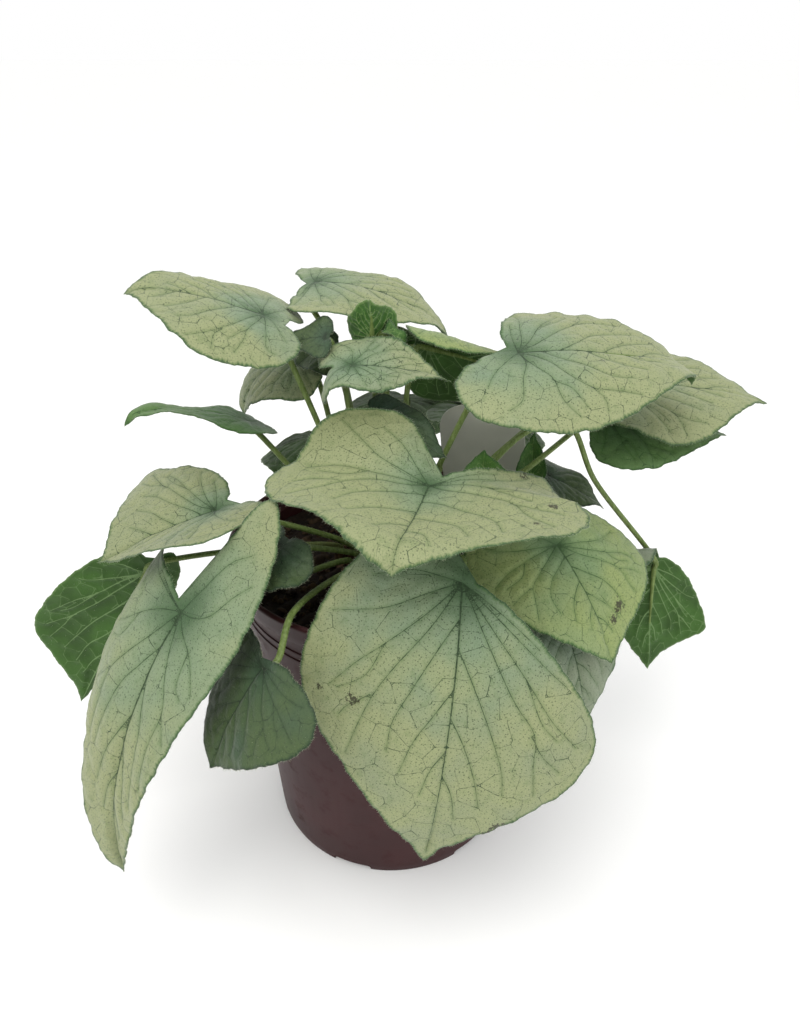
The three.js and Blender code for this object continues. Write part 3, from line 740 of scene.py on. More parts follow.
# %% [markdown]
# ## The flat sheet
# The heart is filled with small triangles that follow the margin and every vein. A plain grid would cut
# across the veins and make them look like beads; with the veins as edges of the mesh, a value that
# counts the distance from a vein is exact, so a shader can draw a vein of any width from it.

# %% A flat leaf with what each point knows
VEIN_STEP = 0.00025
LONGEST_THREAD = 0.024
ON_VEIN = 0.0003


def lines_of(paths, spacing, keep):
    """Points and sides along paths, leaving out the stretches that keep refuses."""
    points, sides = [], []
    for path in paths:
        count = max(2, round(length_of(path) / spacing) + 1)
        stops = smooth_path(path, count) if len(path) > 2 else np.linspace(path[0], path[1], count)
        good = keep(stops)
        for number, stop in enumerate(stops):
            if not good[number]:
                continue
            points.append(stop)
            if number and good[number - 1]:
                sides.append((len(points) - 2, len(points) - 1))
    return np.array(points).reshape(-1, 2), sides


def thick_line(path, wide, thin):
    """Close-set places along a vein, with its half width at each."""
    count = max(2, round(length_of(path) / VEIN_STEP))
    stops = smooth_path(path, count) if len(path) > 2 else np.linspace(path[0], path[1], count)
    return np.column_stack([stops, np.linspace(wide, thin, count)])


def flat_sheet(leaf, grain, chance):
    edge, around = outline(leaf, grain, chance)
    ribs = strong_veins(leaf, chance)
    strong = np.vstack([thick_line(*rib) for rib in ribs])
    net = [np.array(both) for both in fine_veins(leaf, edge, ribs, chance)]
    net = [both for both in net if grain * 0.5 < np.linalg.norm(both[1] - both[0]) < LONGEST_THREAD]
    net = [both for both in net if inside(both.mean(axis=0)[None], edge)[0]]
    widths = chance.uniform(0.65, 1.25, len(net)) * NET_HALF_WIDTH
    fine = np.vstack([thick_line(both, wide, wide) for both, wide in zip(net, widths)])

    edge_tree, strong_tree = tree_of(edge), tree_of(strong)

    def clear_of_margin(stops):
        return inside(stops, edge) & (nearest(stops, edge_tree)[0] > 0.8 * grain)

    def clear_of_ribs(stops):
        return clear_of_margin(stops) & (nearest(stops, strong_tree)[0] > 0.6 * grain)

    rib_points, rib_sides = lines_of([path for path, _, _ in ribs], grain, clear_of_margin)
    net_points, net_sides = lines_of(net, grain, clear_of_ribs)
    low, high = edge.min(axis=0), edge.max(axis=0)
    xs = np.arange(low[0], high[0], grain)
    ys = np.arange(low[1], high[1], grain * 0.9)
    grid = np.array([(x + (k % 2) * grain / 2, y) for k, y in enumerate(ys) for x in xs])
    veins = np.vstack([rib_points, net_points])
    grid = grid[inside(grid, edge)]
    vein_tree = tree_of(veins)
    grid = grid[(nearest(grid, edge_tree)[0] > 0.7 * grain) & (nearest(grid, vein_tree)[0] > 0.7 * grain)]

    count = len(edge)
    sides = [(i, (i + 1) % count) for i in range(count)]
    sides += [(a + count, b + count) for a, b in rib_sides]
    sides += [(a + count + len(rib_points), b + count + len(rib_points)) for a, b in net_sides]
    everything = np.vstack([edge, rib_points, net_points, grid])
    points, _, faces, *_ = delaunay_2d_cdt([Vector(p) for p in everything], sides, [], 1, 1e-6)
    points = np.array([tuple(point) for point in points])
    faces = np.array(faces)
    a, b, c = (points[faces[:, k]] for k in range(3))
    area = (b[:, 0] - a[:, 0]) * (c[:, 1] - a[:, 1]) - (b[:, 1] - a[:, 1]) * (c[:, 0] - a[:, 0])
    faces[area < 0] = faces[area < 0][:, ::-1]

    # A triangle with all its corners on veins would be dark all over, so it is split from its middle.
    fine_tree = tree_of(fine)
    on_vein = np.minimum(nearest(points, strong_tree)[0], nearest(points, fine_tree)[0]) < ON_VEIN
    hit = on_vein[faces].all(axis=1)
    split = faces[hit]
    middle = np.arange(len(split)) + len(points)
    points = np.vstack([points, points[split].mean(axis=1)])
    parts = [np.column_stack([split[:, k], split[:, (k + 1) % 3], middle]) for k in range(3)]
    faces = np.vstack([faces[~hit], *parts])

    closer = np.linspace(0, len(edge) - 1, 4 * len(edge))
    from_edge, which = nearest(points, tree_of(between(closer, np.arange(len(edge)), edge)))
    run = np.interp(closer, np.arange(len(edge)), around)[which]
    half_way = run[np.argmax(points[:, 0])]
    turn = np.where(run < half_way, run / half_way - 1, (run - half_way) / (around[-1] - half_way)) * math.pi
    to_strong, rib = nearest(points, strong_tree)
    to_fine, thread = nearest(points, fine_tree)
    return dict(
        points=points, faces=faces, edge=from_edge, run=run, turn=turn, strong=to_strong,
        strong_ratio=to_strong / strong[rib, 2], fine=to_fine, fine_ratio=to_fine / fine[thread, 2],
    )


sheet = flat_sheet(LEAVES["leaf_young_fan"], 0.0008, np.random.default_rng(3))
print("a young leaf's sheet has", len(sheet["points"]), "points and", len(sheet["faces"]), "triangles")

# %% [markdown]
# ## From sheet to blade
# A real blade is thin, sunk along its veins above and ribbed along them below, softly quilted between
# and wavy at the margin. Thickness could come from a Solidify modifier, but then both faces would be alike.
# Here the upper and the under face are placed one by one, and a rounded rim closes them.

# %% Blade mesh
WAVES_ROUND = 4
# How far the blade moves at each of its features, in metres, on a leaf of full size.
STRONG_SINK = 0.0006
FINE_SINK = 0.0002
QUILT_RISE = 0.0005
SWELL_RISE = 0.00022
RUFFLE_RISE = 0.0005
WAVE_RISE = 0.0015
STRONG_RIB = 0.0004
FINE_RIB = 0.0001
LIP_REACH = 0.00016


def face_normals(points, faces):
    a, b, c = (points[faces[:, k]] for k in range(3))
    flat = np.cross(b - a, c - a)
    normals = np.zeros_like(points)
    for k in range(3):
        np.add.at(normals, faces[:, k], flat)
    return unit(normals)


def relief_of(leaf, sheet, chance):
    """How far each point of the sheet lies above the plain bent blade."""
    flat = sheet["points"]
    size = min(1.0, 0.35 + leaf["length"] / 0.16)
    span = min(leaf["length"], sum(pair(leaf, "width", 0)) / 2)
    sunk = STRONG_SINK * bell(sheet["strong"], 0.0015) * np.clip(flat[:, 0] / 0.006 + 1, 0, 1)
    sunk = sunk + FINE_SINK * bell(sheet["fine"], 0.0009)
    puffed = QUILT_RISE * (1 - bell(np.minimum(sheet["strong"], sheet["fine"]), 0.0035))
    swell = np.zeros(len(flat))
    for _ in range(5):
        way = chance.uniform(0, 2 * math.pi)
        across = flat @ np.array([math.cos(way), math.sin(way)])
        swell += SWELL_RISE * np.sin(across / chance.uniform(0.0035, 0.008) + chance.uniform(0, 6.3))
    margin = np.clip(1 - sheet["edge"] / (0.42 * span), 0, 1)
    wave = WAVE_RISE * np.sin(WAVES_ROUND * sheet["turn"]) * margin**2
    ripple = np.sin(sheet["run"] / 0.0031 + 2 * np.sin(sheet["run"] / 0.013))
    ruffle = RUFFLE_RISE * ripple * np.exp(-sheet["edge"] / 0.0035)
    return size * (puffed + swell * np.clip(np.hypot(*flat.T) / 0.02, 0, 1) + ruffle - sunk) + wave


def blade(leaf, sheet, chance):
    """Points, faces, finish numbers (0 above, 1 below) and the upper face's normals."""
    flat, faces = sheet["points"], sheet["faces"]
    middle = bent(leaf, flat, relief_of(leaf, sheet, chance))
    normals = face_normals(middle, faces)
    thin = 0.55 + 0.45 * np.clip(sheet["edge"] / 0.002, 0, 1)
    half = LEAF_THICKNESS / 2 * thin
    ribbed = STRONG_RIB * bell(sheet["strong"], 0.0006) + FINE_RIB * bell(sheet["fine"], 0.0003)
    above = middle + normals * half[:, None]
    below = middle - normals * (half + ribbed * np.clip(sheet["edge"] / 0.003, 0, 1))[:, None]
    count = len(flat)
    sides = np.vstack([faces[:, [0, 1]], faces[:, [1, 2]], faces[:, [2, 0]]])
    keys = np.minimum(sides[:, 0], sides[:, 1]) * count + np.maximum(sides[:, 0], sides[:, 1])
    _, first, times = np.unique(keys, return_index=True, return_counts=True)
    open_sides = sides[first[times == 1]]
    outward = np.zeros_like(middle)
    for a, b in open_sides:
        away = np.cross(middle[b] - middle[a], normals[a])
        outward[a] += away
        outward[b] += away
    rim = np.unique(open_sides)
    outward = unit(outward[rim])
    place = np.zeros(count, dtype=int)
    place[rim] = np.arange(len(rim)) + 2 * count
    lip = middle[rim] + outward * LIP_REACH
    strips = []
    for a, b in open_sides:
        strips.append((b, a, place[a], place[b]))
        strips.append((place[b], place[a], a + count, b + count))
    points = np.vstack([above, below, lip])
    all_faces = [tuple(face) for face in faces] + [tuple(face[::-1] + count) for face in faces] + strips
    which = [0] * len(faces) + [1] * len(faces) + [0, 1] * len(open_sides)
    return points, all_faces, which, normals, rim, outward


points, faces, *_ = blade(LEAVES["leaf_young_fan"], sheet, np.random.default_rng(3))
print("its blade has", len(points), "points and", len(faces), "faces")

# %% [markdown]
# ## Stalks
# A stalk rises from the crown, bends over under the leaf and goes on as the thick rib under the blade. It
# could be a curve with a round bevel, but a real one is channelled on its inner side and swells a little
# at its foot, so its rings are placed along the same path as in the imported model.

# %% Stalk mesh
STALK_SIDES = 12
RIB_RADIUS = 0.0015
RIB_DROP = 0.0007
RIB_END_RADIUS = 0.00035
RIB_RINGS = 26
RIB_SHARE = 0.6
FOOT_SWELLING = 0.0006


def stalk_path(leaf):
    runs, places, _, ups = midrib(leaf)
    turn, at, length = turned_frame(leaf), np.array(leaf["at"]), leaf["length"]

    def under(x, drop):
        return (between(x, runs, places) - between(x, runs, ups) * drop) @ turn.T + at

    foot = np.array([*leaf["foot"], CROWN_TOP - SOCKET_DEPTH + SEAT_GAP])
    knots = [foot, foot + [0, 0, SOCKET_DEPTH - 0.002], foot + [0, 0, SOCKET_DEPTH + 0.004]]
    knots += [np.array(place) for place in leaf.get("via", [])]
    knots += [under(-0.09 * length, STALK_RADIUS + 0.0025), under(0, RIB_RADIUS + RIB_DROP)]
    before = smooth_path(knots + [under(0.1 * length, RIB_RADIUS + RIB_DROP)], 90)
    joint = int(np.argmin(np.linalg.norm(before - knots[-1], axis=1)))
    shares = np.linspace(0, RIB_SHARE, RIB_RINGS)
    thin = np.linspace(RIB_RADIUS, RIB_END_RADIUS, RIB_RINGS)
    rib = [under(share * length, size + RIB_DROP) for share, size in zip(shares, thin)]
    radius = np.concatenate([RIB_RADIUS + FOOT_SWELLING * np.exp(-np.linspace(0, 9, joint)), thin])
    return np.vstack([before[:joint], rib]), radius


def stalk(leaf):
    """Points, faces, the path share of each point, and the rings' centres."""
    path, radius = stalk_path(leaf)
    along = unit(np.gradient(path, axis=0))
    inward = np.array([-leaf["foot"][0], -leaf["foot"][1], 0.002])
    rings = []
    for centre, ahead, size in zip(path, along, radius):
        inward = inward - ahead * (inward @ ahead)
        inward = inward / np.linalg.norm(inward)
        side = np.cross(ahead, inward)
        angles = np.arange(STALK_SIDES) * 2 * math.pi / STALK_SIDES
        channel = 1 - 0.22 * bell(np.minimum(angles, 2 * math.pi - angles), 0.5)
        spokes = np.cos(angles)[:, None] * inward + np.sin(angles)[:, None] * side
        rings.append(centre + spokes * (size * channel)[:, None])
    count = len(path)
    points = np.vstack([*rings, path[:1], path[-1:]])
    faces = bands(count, STALK_SIDES)
    end = (count - 1) * STALK_SIDES
    for j in range(STALK_SIDES):
        k = (j + 1) % STALK_SIDES
        faces.append((k, j, count * STALK_SIDES))
        faces.append((end + j, end + k, count * STALK_SIDES + 1))
    share = np.append(np.repeat(np.linspace(0, 1, count), STALK_SIDES), [0.0, 1.0])
    return points, faces, share, path


points, faces, share, path = stalk(LEAVES["leaf_front"])
print("the front leaf's stalk is", round(length_of(path), 3), "m long")

# %% [markdown]
# ## Hairs
# The whole plant is bristly: short stiff hairs stand on the stalks, on both faces and as a fringe round each
# margin. Blender's hair would be the usual way for an animal's coat, but it isn't a mesh, and a shared part
# has to keep its form in other programs. Each hair here is a slim pyramid of four triangles.

# %% Hair mesh
def hairs(roots, ways, lengths, radius, chance):
    """Slim pyramids from each root, with three base corners and a tip."""
    ways = unit(ways)
    first = unit(np.cross(ways, chance.normal(size=ways.shape)))
    second = np.cross(ways, first)
    corners = []
    for k in range(3):
        angle = k * 2 * math.pi / 3
        corners.append(roots + radius * (math.cos(angle) * first + math.sin(angle) * second))
    corners.append(roots + ways * lengths[:, None])
    points = np.stack(corners, axis=1).reshape(-1, 3)
    start = np.arange(len(roots))[:, None] * 4
    pattern = np.array([[0, 1, 3], [1, 2, 3], [2, 0, 3], [0, 2, 1]])
    return points, (start[:, :, None] + pattern[None]).reshape(-1, 3)


def scattered(points, faces, per_area, chance):
    """Random places on triangles, about per_area of them to a square metre, and each one's triangle."""
    a, b, c = (points[faces[:, k]] for k in range(3))
    area = np.linalg.norm(np.cross(b - a, c - a), axis=1) / 2
    count = int(area.sum() * per_area)
    chosen = chance.choice(len(faces), size=count, p=area / area.sum())
    u, v = chance.random((2, count))
    flip = u + v > 1
    u, v = np.where(flip, 1 - u, u), np.where(flip, 1 - v, v)
    return a[chosen] + u[:, None] * (b - a)[chosen] + v[:, None] * (c - a)[chosen], chosen


print("hairs ready")

# %% [markdown]
# ## Leaf finishes
# The silver of these leaves is a layer of air under the skin, broken into fine grains, so it looks like pale
# frost over green. It fails along the veins and at the margin, where the green shows, and at the foot of
# every bristle, which leaves a dark dot. Near the stalk a bluish tint is painted in as the sky's reflection,
# and a darker green at the base is partly the leaf's own and partly painted shade. An image could hold all
# this, but a pattern made from values on the mesh stays sharp at any size and can be changed with one
# number.

# %% Upper faces
def leaf_upper(name, pale, warm, painted_sky_tint, green, dark, vein, dot_share, vein_share, edge_band):
    finish = Finish(name)
    flat = finish.read("flat", "Vector")
    own = finish.read("leaf_own")
    strong = finish.read("strong_ratio")
    fine = finish.read("fine_ratio")
    to_strong = finish.read("to_strong")
    margin = finish.read("to_margin")
    stretch = finish.read("from_joint")

    clouds = finish.noise(flat, 38.0, 2.0)
    grain = finish.noise(flat, 1700.0, 2.0, 0.6)
    patches = finish.noise(flat, 210.0, 3.0, 0.6)
    silver = finish.mix(finish.step(clouds + own * 0.3, 0.38, 0.72), tint(pale), tint(warm))
    # Painted reflection: towards the stalk, a bluish tint stands in for the sky reflected on the blade.
    silver = finish.mix(finish.step(stretch + clouds * 0.5, 0.78, 0.35) * 0.6, silver, tint(painted_sky_tint))
    silver = finish.mix(finish.step(grain, 0.45, 0.72) * 0.4, silver, tint(green))
    silver = finish.mix(finish.step(patches, 0.5, 0.75) * 0.25, silver, tint(green))

    halo = finish.step(to_strong + grain * 0.001, 0.0024, 0.0004) * 0.32
    # Towards the joint a darker green is mixed in: partly the leaf's own green and partly painted shade cast
    # by the leaves above.
    base_green_and_shade = finish.step(stretch + clouds * 0.14, 0.26, 0.07) * 0.8
    silver = finish.mix(halo, silver, tint(green))
    silver = finish.mix(base_green_and_shade, silver, tint(dark))

    streaks = finish.noise(finish.read("fringe", "Vector"), 1.0, 2.0, 0.6)
    reach = margin - streaks * (2.4 * edge_band)
    silver = finish.mix(finish.step(reach, edge_band * 0.1, -edge_band * 0.5) * 0.5, silver, tint(green))
    silver = finish.mix(finish.step(reach, -edge_band * 0.5, -edge_band) * 0.8, silver, tint(dark))

    cells = {"feature": "F1", "voronoi_dimensions": "2D"}
    dots = finish.node("ShaderNodeTexVoronoi", cells, {"Vector": flat, "Scale": 520.0}, "Distance")
    size = finish.noise(flat, 150.0, 2.0)
    dot = finish.step(dots - size * 0.2, 0.055, 0.0) * finish.step(margin, 0.001, 0.004) * dot_share
    silver = finish.mix(dot, silver, tint(vein))

    broken = finish.step(finish.noise(flat, 330.0, 2.0), 0.35, 0.6)
    thread = finish.step(fine, 1.35, 0.5) * (0.38 + broken * 0.52) * vein_share
    silver = finish.mix(thread, silver, tint(vein))
    rib = finish.step(strong, 1.25, 0.6) * (0.6 + broken * 0.38) * vein_share
    silver = finish.mix(rib, silver, tint(vein))

    scorch = finish.read("scorch")
    speck = finish.noise(flat, 620.0, 3.0, 0.7)
    burnt = finish.step(scorch * 0.9 - speck * 2.4, -0.62, -0.4) * finish.step(scorch, 0.04, 0.2)
    colour = finish.mix(burnt * 0.9, silver, tint("28260f"))

    bristles = finish.step(dots, 0.25, 0.0)
    height = grain * 0.35 + bristles * 0.5 + finish.noise(flat, 640.0, 2.0) * 0.6
    roughness = 0.5 + grain * 0.18 + rib * 0.1
    return finish.close(
        Base_Color=colour, Roughness=roughness, Normal=finish.relief(height, 0.00025, 0.8),
        Specular_IOR_Level=0.35, Sheen_Weight=0.12, Sheen_Roughness=0.5,
    )


SILVER_UPPER = leaf_upper(
    "silver leaf, upper face", "858d6c", "8e946b", "64806a",
    "3b5d24", "284a24", "1e3517", 0.6, 1.0, 0.0013,
)
COOL_UPPER = leaf_upper(
    "blue-grey leaf, upper face", "758471", "7d876f", "67826e",
    "40602d", "2a482a", "253e20", 0.4, 0.9, 0.0012,
)
SHADED_UPPER = leaf_upper(
    "shaded leaf, upper face", "3a4f38", "43552f", "2f4a3c",
    "213a19", "182e16", "12240e", 0.3, 0.9, 0.0012,
)
MID_UPPER = leaf_upper(
    "mid green leaf, upper face", "547445", "5d7b46", "4a6d48",
    "38601f", "294d1b", "20431a", 0.2, 0.8, 0.0010,
)
YOUNG_UPPER = leaf_upper(
    "young leaf, upper face", "3c6422", "476e28", "385f25",
    "274e18", "274e18", "7f9a58", 0.2, 0.6, 0.0009,
)
GREEN_UPPER = leaf_upper(
    "green silver leaf, upper face", "7c8c5d", "85925a", "688660",
    "395f25", "294e20", "254218", 0.5, 0.9, 0.0012,
)
print("six upper finishes")

# %% [markdown]
# ## Undersides, stalks and hairs
# The underside has no silver. It is a dull mid green with pale raised veins, the other way round from the
# upper face. Stalks are olive, redder towards the foot. The hairs are clear and almost white.

# %% Undersides, stalks and hairs
def leaf_under(name, ground, light, vein):
    finish = Finish(name)
    flat = finish.read("flat", "Vector")
    strong = finish.read("strong_ratio")
    fine = finish.read("fine_ratio")
    clouds = finish.noise(flat, 60.0, 3.0)
    grain = finish.noise(flat, 1500.0, 2.0, 0.6)
    colour = finish.mix(finish.step(clouds, 0.35, 0.7), tint(ground), tint(light))
    colour = finish.mix(finish.step(grain, 0.45, 0.7) * 0.3, colour, tint(ground))
    colour = finish.mix(finish.step(fine, 1.8, 0.5) * 0.5, colour, tint(vein))
    colour = finish.mix(finish.step(strong, 1.9, 0.8) * 0.85, colour, tint(vein))
    colour = finish.mix(finish.step(finish.read("to_margin"), 0.0012, 0.0) * 0.5, colour, tint(vein))
    height = grain * 0.4 + finish.noise(flat, 700.0, 2.0) * 0.5
    return finish.close(
        Base_Color=colour, Roughness=0.6 + grain * 0.15, Normal=finish.relief(height, 0.00022, 0.7),
        Specular_IOR_Level=0.3, Sheen_Weight=0.15, Sheen_Roughness=0.5,
    )


def stalk_finish():
    finish = Finish("stalk")
    run = finish.read("stalk_share")
    own = finish.read("leaf_own")
    place = finish.object_place()
    long_grain = finish.noise(place * (1.0, 1.0, 0.12), 900.0, 3.0, 0.6)
    colour = finish.mix(finish.step(long_grain, 0.35, 0.7), tint("55682b"), tint("74874a"))
    brown = finish.step(run + own * 0.55 + long_grain * 0.2, 0.62, 0.12) * 0.65
    colour = finish.mix(brown, colour, tint("5b4527"))
    height = long_grain * 0.8 + finish.noise(place, 2200.0, 2.0) * 0.3
    return finish.close(
        Base_Color=colour, Roughness=0.45 + long_grain * 0.25, Normal=finish.relief(height, 0.0002, 0.7),
        Specular_IOR_Level=0.4,
    )


def hair_finish():
    finish = Finish("plant hair")
    place = finish.object_place()
    shade = finish.noise(place, 500.0, 1.0)
    colour = finish.mix(shade, tint("9fab86"), tint("c9d0b2"))
    return finish.close(Base_Color=colour, Roughness=0.4 + shade * 0.2, Specular_IOR_Level=0.5)


GREEN_UNDER = leaf_under("leaf, under face", "2d4b17", "3a5e21", "678351")
YOUNG_UNDER = leaf_under("young leaf, under face", "38611f", "4a7632", "83a05f")
STALK = stalk_finish()
HAIR = hair_finish()
print("undersides, stalks and hairs have their finishes")

# %% [markdown]
# ## Making the leaves
# Now every leaf is cut, veined, bent and given its stalk and hairs. Brown blotches mark three of the big
# leaves where they rubbed or scorched; each is a place on the flat blade with a radius.

# %% All the leaves
GRAIN_LIMITS = (0.0007, 0.0013)
LEAF_SEED = 100
PATTERN_SHIFT = 0.37
FRINGE_SCALE = (900, 120)
# What a stalk's points say about veins: many half widths and a centimetre away from any.
STALK_RATIO = 20
STALK_DISTANCE = 0.01
# Hairs to a square metre and to a point of the margin, the rings of a stalk that carry them, and in
# metres how long they are and half their width.
UPPER_HAIRS = 7e4
UNDER_HAIRS = 4e4
STALK_HAIRS = 7e5
HAIRS_PER_MARGIN_POINT = 3
HAIRY_RINGS = 92
UPPER_HAIR_LENGTH = 0.0007
UNDER_HAIR_LENGTH = 0.0009
MARGIN_HAIR_LENGTHS = (0.0006, 0.0014)
STALK_HAIR_LENGTHS = (0.0005, 0.0012)
BLADE_HAIR_RADIUS = 4e-5
EDGE_HAIR_RADIUS = 4.5e-5
UPPER_OF = {"silver": SILVER_UPPER, "shaded": SHADED_UPPER, "young": YOUNG_UPPER}
SPECIAL_UPPER = {
    "leaf_right": GREEN_UPPER,
    "leaf_behind_right": GREEN_UPPER,
    "leaf_pale_behind": GREEN_UPPER,
    "leaf_hanging": COOL_UPPER,
    "leaf_far_right": COOL_UPPER,
    "leaf_left_edge": MID_UPPER,
    "leaf_right_under": MID_UPPER,
}
SLOT_OF = {"silver": "silver_leaf", "shaded": "shaded_leaf", "young": "young_leaf"}
# Blotches: share of the length ahead, share of the half width (left is positive), radius.
BLOTCHES = {
    "leaf_front": [(0.3, -0.62, 0.0045), (0.22, -0.86, 0.003), (0.75, 0.42, 0.006), (0.8, 0.36, 0.0045)],
    "leaf_centre": [(-0.2, 0.72, 0.003), (0.5, 0.55, 0.003), (0.3, 0.75, 0.0028)],
    "leaf_right": [(0.6, 0.3, 0.0045), (0.68, 0.18, 0.003)],
}


def flat_map_of(faces, flat, rim, share):
    """A texture map with the upper face on the left, the under face beside it and the stalk at the right."""
    low, high = flat.min(axis=0), flat.max(axis=0)
    scale = min(0.46 / (high[1] - low[1]), 0.98 / (high[0] - low[0]))
    upper = np.stack([(flat[:, 1] - low[1]) * scale + 0.005, (flat[:, 0] - low[0]) * scale + 0.01], 1)
    under = upper + [0.475, 0.0]
    half = STALK_SIDES / 2
    around = np.abs(np.arange(len(share)) % STALK_SIDES - half) / half
    on_stalk = np.stack([0.95 + 0.045 * around, 0.01 + 0.98 * share], 1)
    places = np.vstack([upper, under, upper[rim], on_stalk])
    return np.vstack([places[list(face)] for face in faces])


def blotched(name, leaf, flat):
    """How strongly each flat point is scorched, 1 in the middle of a blotch."""
    scorch = np.zeros(len(flat))
    for ahead, across, radius in BLOTCHES.get(name, []):
        centre = on_blade(leaf, [(ahead, abs(across))], 0 if across >= 0 else 1)[0]
        scorch = np.maximum(scorch, bell(np.linalg.norm(flat - centre, axis=1), radius))
    return scorch


def leaf_hairs(sheet, points, normals, outward, stalk_parts, chance):
    """The hairs on both faces, round the margin and along the stalk."""
    count, triangles = len(sheet["points"]), sheet["faces"]
    above, chosen = scattered(points, triangles, UPPER_HAIRS, chance)
    below, chosen_below = scattered(points, triangles + count, UNDER_HAIRS, chance)
    up, down = normals[triangles[chosen, 0]], -normals[triangles[chosen_below, 0]]
    bits = []
    for roots, ways, longest in ((above, up, UPPER_HAIR_LENGTH), (below, down, UNDER_HAIR_LENGTH)):
        leaning = ways + chance.normal(scale=0.5, size=ways.shape)
        lengths = chance.uniform(0.45, 1, len(roots)) * longest
        bits.append(hairs(roots, leaning, lengths, BLADE_HAIR_RADIUS, chance))

    away = np.repeat(outward, HAIRS_PER_MARGIN_POINT, axis=0)
    roots = np.repeat(points[2 * count :], HAIRS_PER_MARGIN_POINT, axis=0)
    roots = roots + chance.normal(scale=0.0002, size=roots.shape)
    roots = roots - away * 0.0003
    away = away + chance.normal(scale=0.35, size=roots.shape)
    lengths = chance.uniform(*MARGIN_HAIR_LENGTHS, len(roots))
    bits.append(hairs(roots, away, lengths, EDGE_HAIR_RADIUS, chance))

    stalk_points, stalk_faces, path = stalk_parts
    sides = np.array([face[:3] for face in stalk_faces[: (len(path) - 1) * STALK_SIDES]])
    bare = sides[sides.max(axis=1) < HAIRY_RINGS * STALK_SIDES]
    roots, picked = scattered(stalk_points, bare, STALK_HAIRS, chance)
    away = unit(roots - path[np.minimum(bare[picked, 0] // STALK_SIDES, len(path) - 1)])
    away = away + chance.normal(scale=0.35, size=away.shape)
    lengths = chance.uniform(*STALK_HAIR_LENGTHS, len(away))
    bits.append(hairs(roots, away, lengths, EDGE_HAIR_RADIUS, chance))
    return one_mesh(bits)


def make_leaf(name, leaf, number):
    chance = np.random.default_rng(LEAF_SEED + number)
    tone = leaf.get("tone", "silver")
    grain = float(np.clip(leaf["length"] / 60, *GRAIN_LIMITS))
    sheet = flat_sheet(leaf, grain, chance)
    flat = sheet["points"]
    points, faces, which, normals, rim, outward = blade(leaf, sheet, chance)
    stalk_points, stalk_faces, share, path = stalk(leaf)
    joined = np.vstack([points, stalk_points])
    every = faces + [tuple(k + len(points) for k in face) for face in stalk_faces]
    which = which + [2] * len(stalk_faces)

    source = np.concatenate([np.arange(len(flat)), np.arange(len(flat)), rim])
    rest = np.zeros(len(stalk_points))

    def spread(array, on_stalk=0.0):
        """A value of the flat points for every point of the mesh."""
        return np.concatenate([array[source], rest + on_stalk])

    shift = np.full(len(joined), number * PATTERN_SHIFT)
    run, edge = spread(sheet["run"]) * FRINGE_SCALE[0], spread(sheet["edge"]) * FRINGE_SCALE[1]
    values = {
        "flat": np.column_stack([spread(flat[:, 0]), spread(flat[:, 1]), shift]),
        "fringe": np.column_stack([run, edge, shift]),
        "leaf_own": np.full(len(joined), chance.random()),
        "strong_ratio": np.minimum(spread(sheet["strong_ratio"], STALK_RATIO), STALK_RATIO),
        "fine_ratio": np.minimum(spread(sheet["fine_ratio"], STALK_RATIO), STALK_RATIO),
        "to_strong": spread(sheet["strong"], STALK_DISTANCE),
        "to_margin": spread(sheet["edge"], STALK_DISTANCE),
        "from_joint": spread(np.hypot(*flat.T) / leaf["length"]),
        "scorch": spread(blotched(name, leaf, flat)),
        "stalk_share": np.concatenate([np.zeros(len(points)), share]),
    }
    upper = SPECIAL_UPPER.get(name, UPPER_OF[tone])
    under = YOUNG_UNDER if tone == "young" else GREEN_UNDER
    flat_map = flat_map_of(every, flat, rim, share)
    make_piece(
        name + "_blade_and_stalk", joined, every, [upper, under, STALK], SLOT_OF[tone], name, which,
        values, flat_map,
    )
    stalk_parts = (stalk_points, stalk_faces, path)
    hair_points, hair_faces = leaf_hairs(sheet, points, normals, outward, stalk_parts, chance)
    make_piece(name + "_hairs", hair_points, hair_faces, [HAIR], SLOT_OF[tone])
    return len(every), len(hair_points)


for number, (name, leaf) in enumerate(LEAVES.items()):
    face_count, hair_points = make_leaf(name, leaf, number)
    print(name, face_count, "faces,", hair_points // 4, "hairs")

# %% [markdown]
# ## The pot
# A nursery pot is blown or moulded in thin dark plastic: a tapering wall, a step under a turned-out rim
# band, and a foot with notches that let water out. It is a turned form, so its profile is drawn
# once, with a rounded lip and two fine moulding rings, and swept round. The notches and drain holes
# are then cut with Boolean modifiers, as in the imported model.

# %% Pot mesh
POT_HEIGHT = 0.182
RIM_RADIUS = 0.085
FOOT_RADIUS = 0.069
POT_WALL = 0.0018
BAND_FOOT = 0.169
BAND_FOOT_RADIUS = 0.0795
FLOOR_HEIGHT = 0.005
FOOT_NOTCHES = 6
NOTCH_WIDTH = 0.022
NOTCH_HEIGHT = 0.0035
NOTCH_TURN = -18.7
DRAIN_HOLES = 6
DRAIN_RADIUS = 0.005
DRAIN_RING = 0.044
DRAIN_SIDES = 28
# A notch is cut between these two radii, and a drain hole between these two heights.
NOTCH_REACH = (0.061, 0.085)
DRAIN_REACH = (-0.002, 0.008)


def wall_radius(z):
    """The outer wall's radius at a height."""
    return FOOT_RADIUS + (BAND_FOOT_RADIUS - FOOT_RADIUS) * z / BAND_FOOT


def inner_radius(z):
    share = (z - FLOOR_HEIGHT) / (BAND_FOOT - FLOOR_HEIGHT)
    return FOOT_RADIUS + (BAND_FOOT_RADIUS - FOOT_RADIUS) * share - POT_WALL


def swept(profile, sides):
    """A closed profile of (radius, height) swept round the upright axis. It starts and ends on the axis."""
    angles = np.arange(sides) * 2 * math.pi / sides
    middle = profile[1:-1]
    points = [ring_at(r, z, angles) for r, z in middle]
    points = np.vstack([*points, [[0, 0, profile[0][1]]], [[0, 0, profile[-1][1]]]])
    faces = bands(len(middle), sides)
    end = (len(middle) - 1) * sides
    first, last = end + sides, end + sides + 1
    for j in range(sides):
        k = (j + 1) % sides
        faces.append((first, k, j))
        faces.append((last, end + j, end + k))
    return points, faces


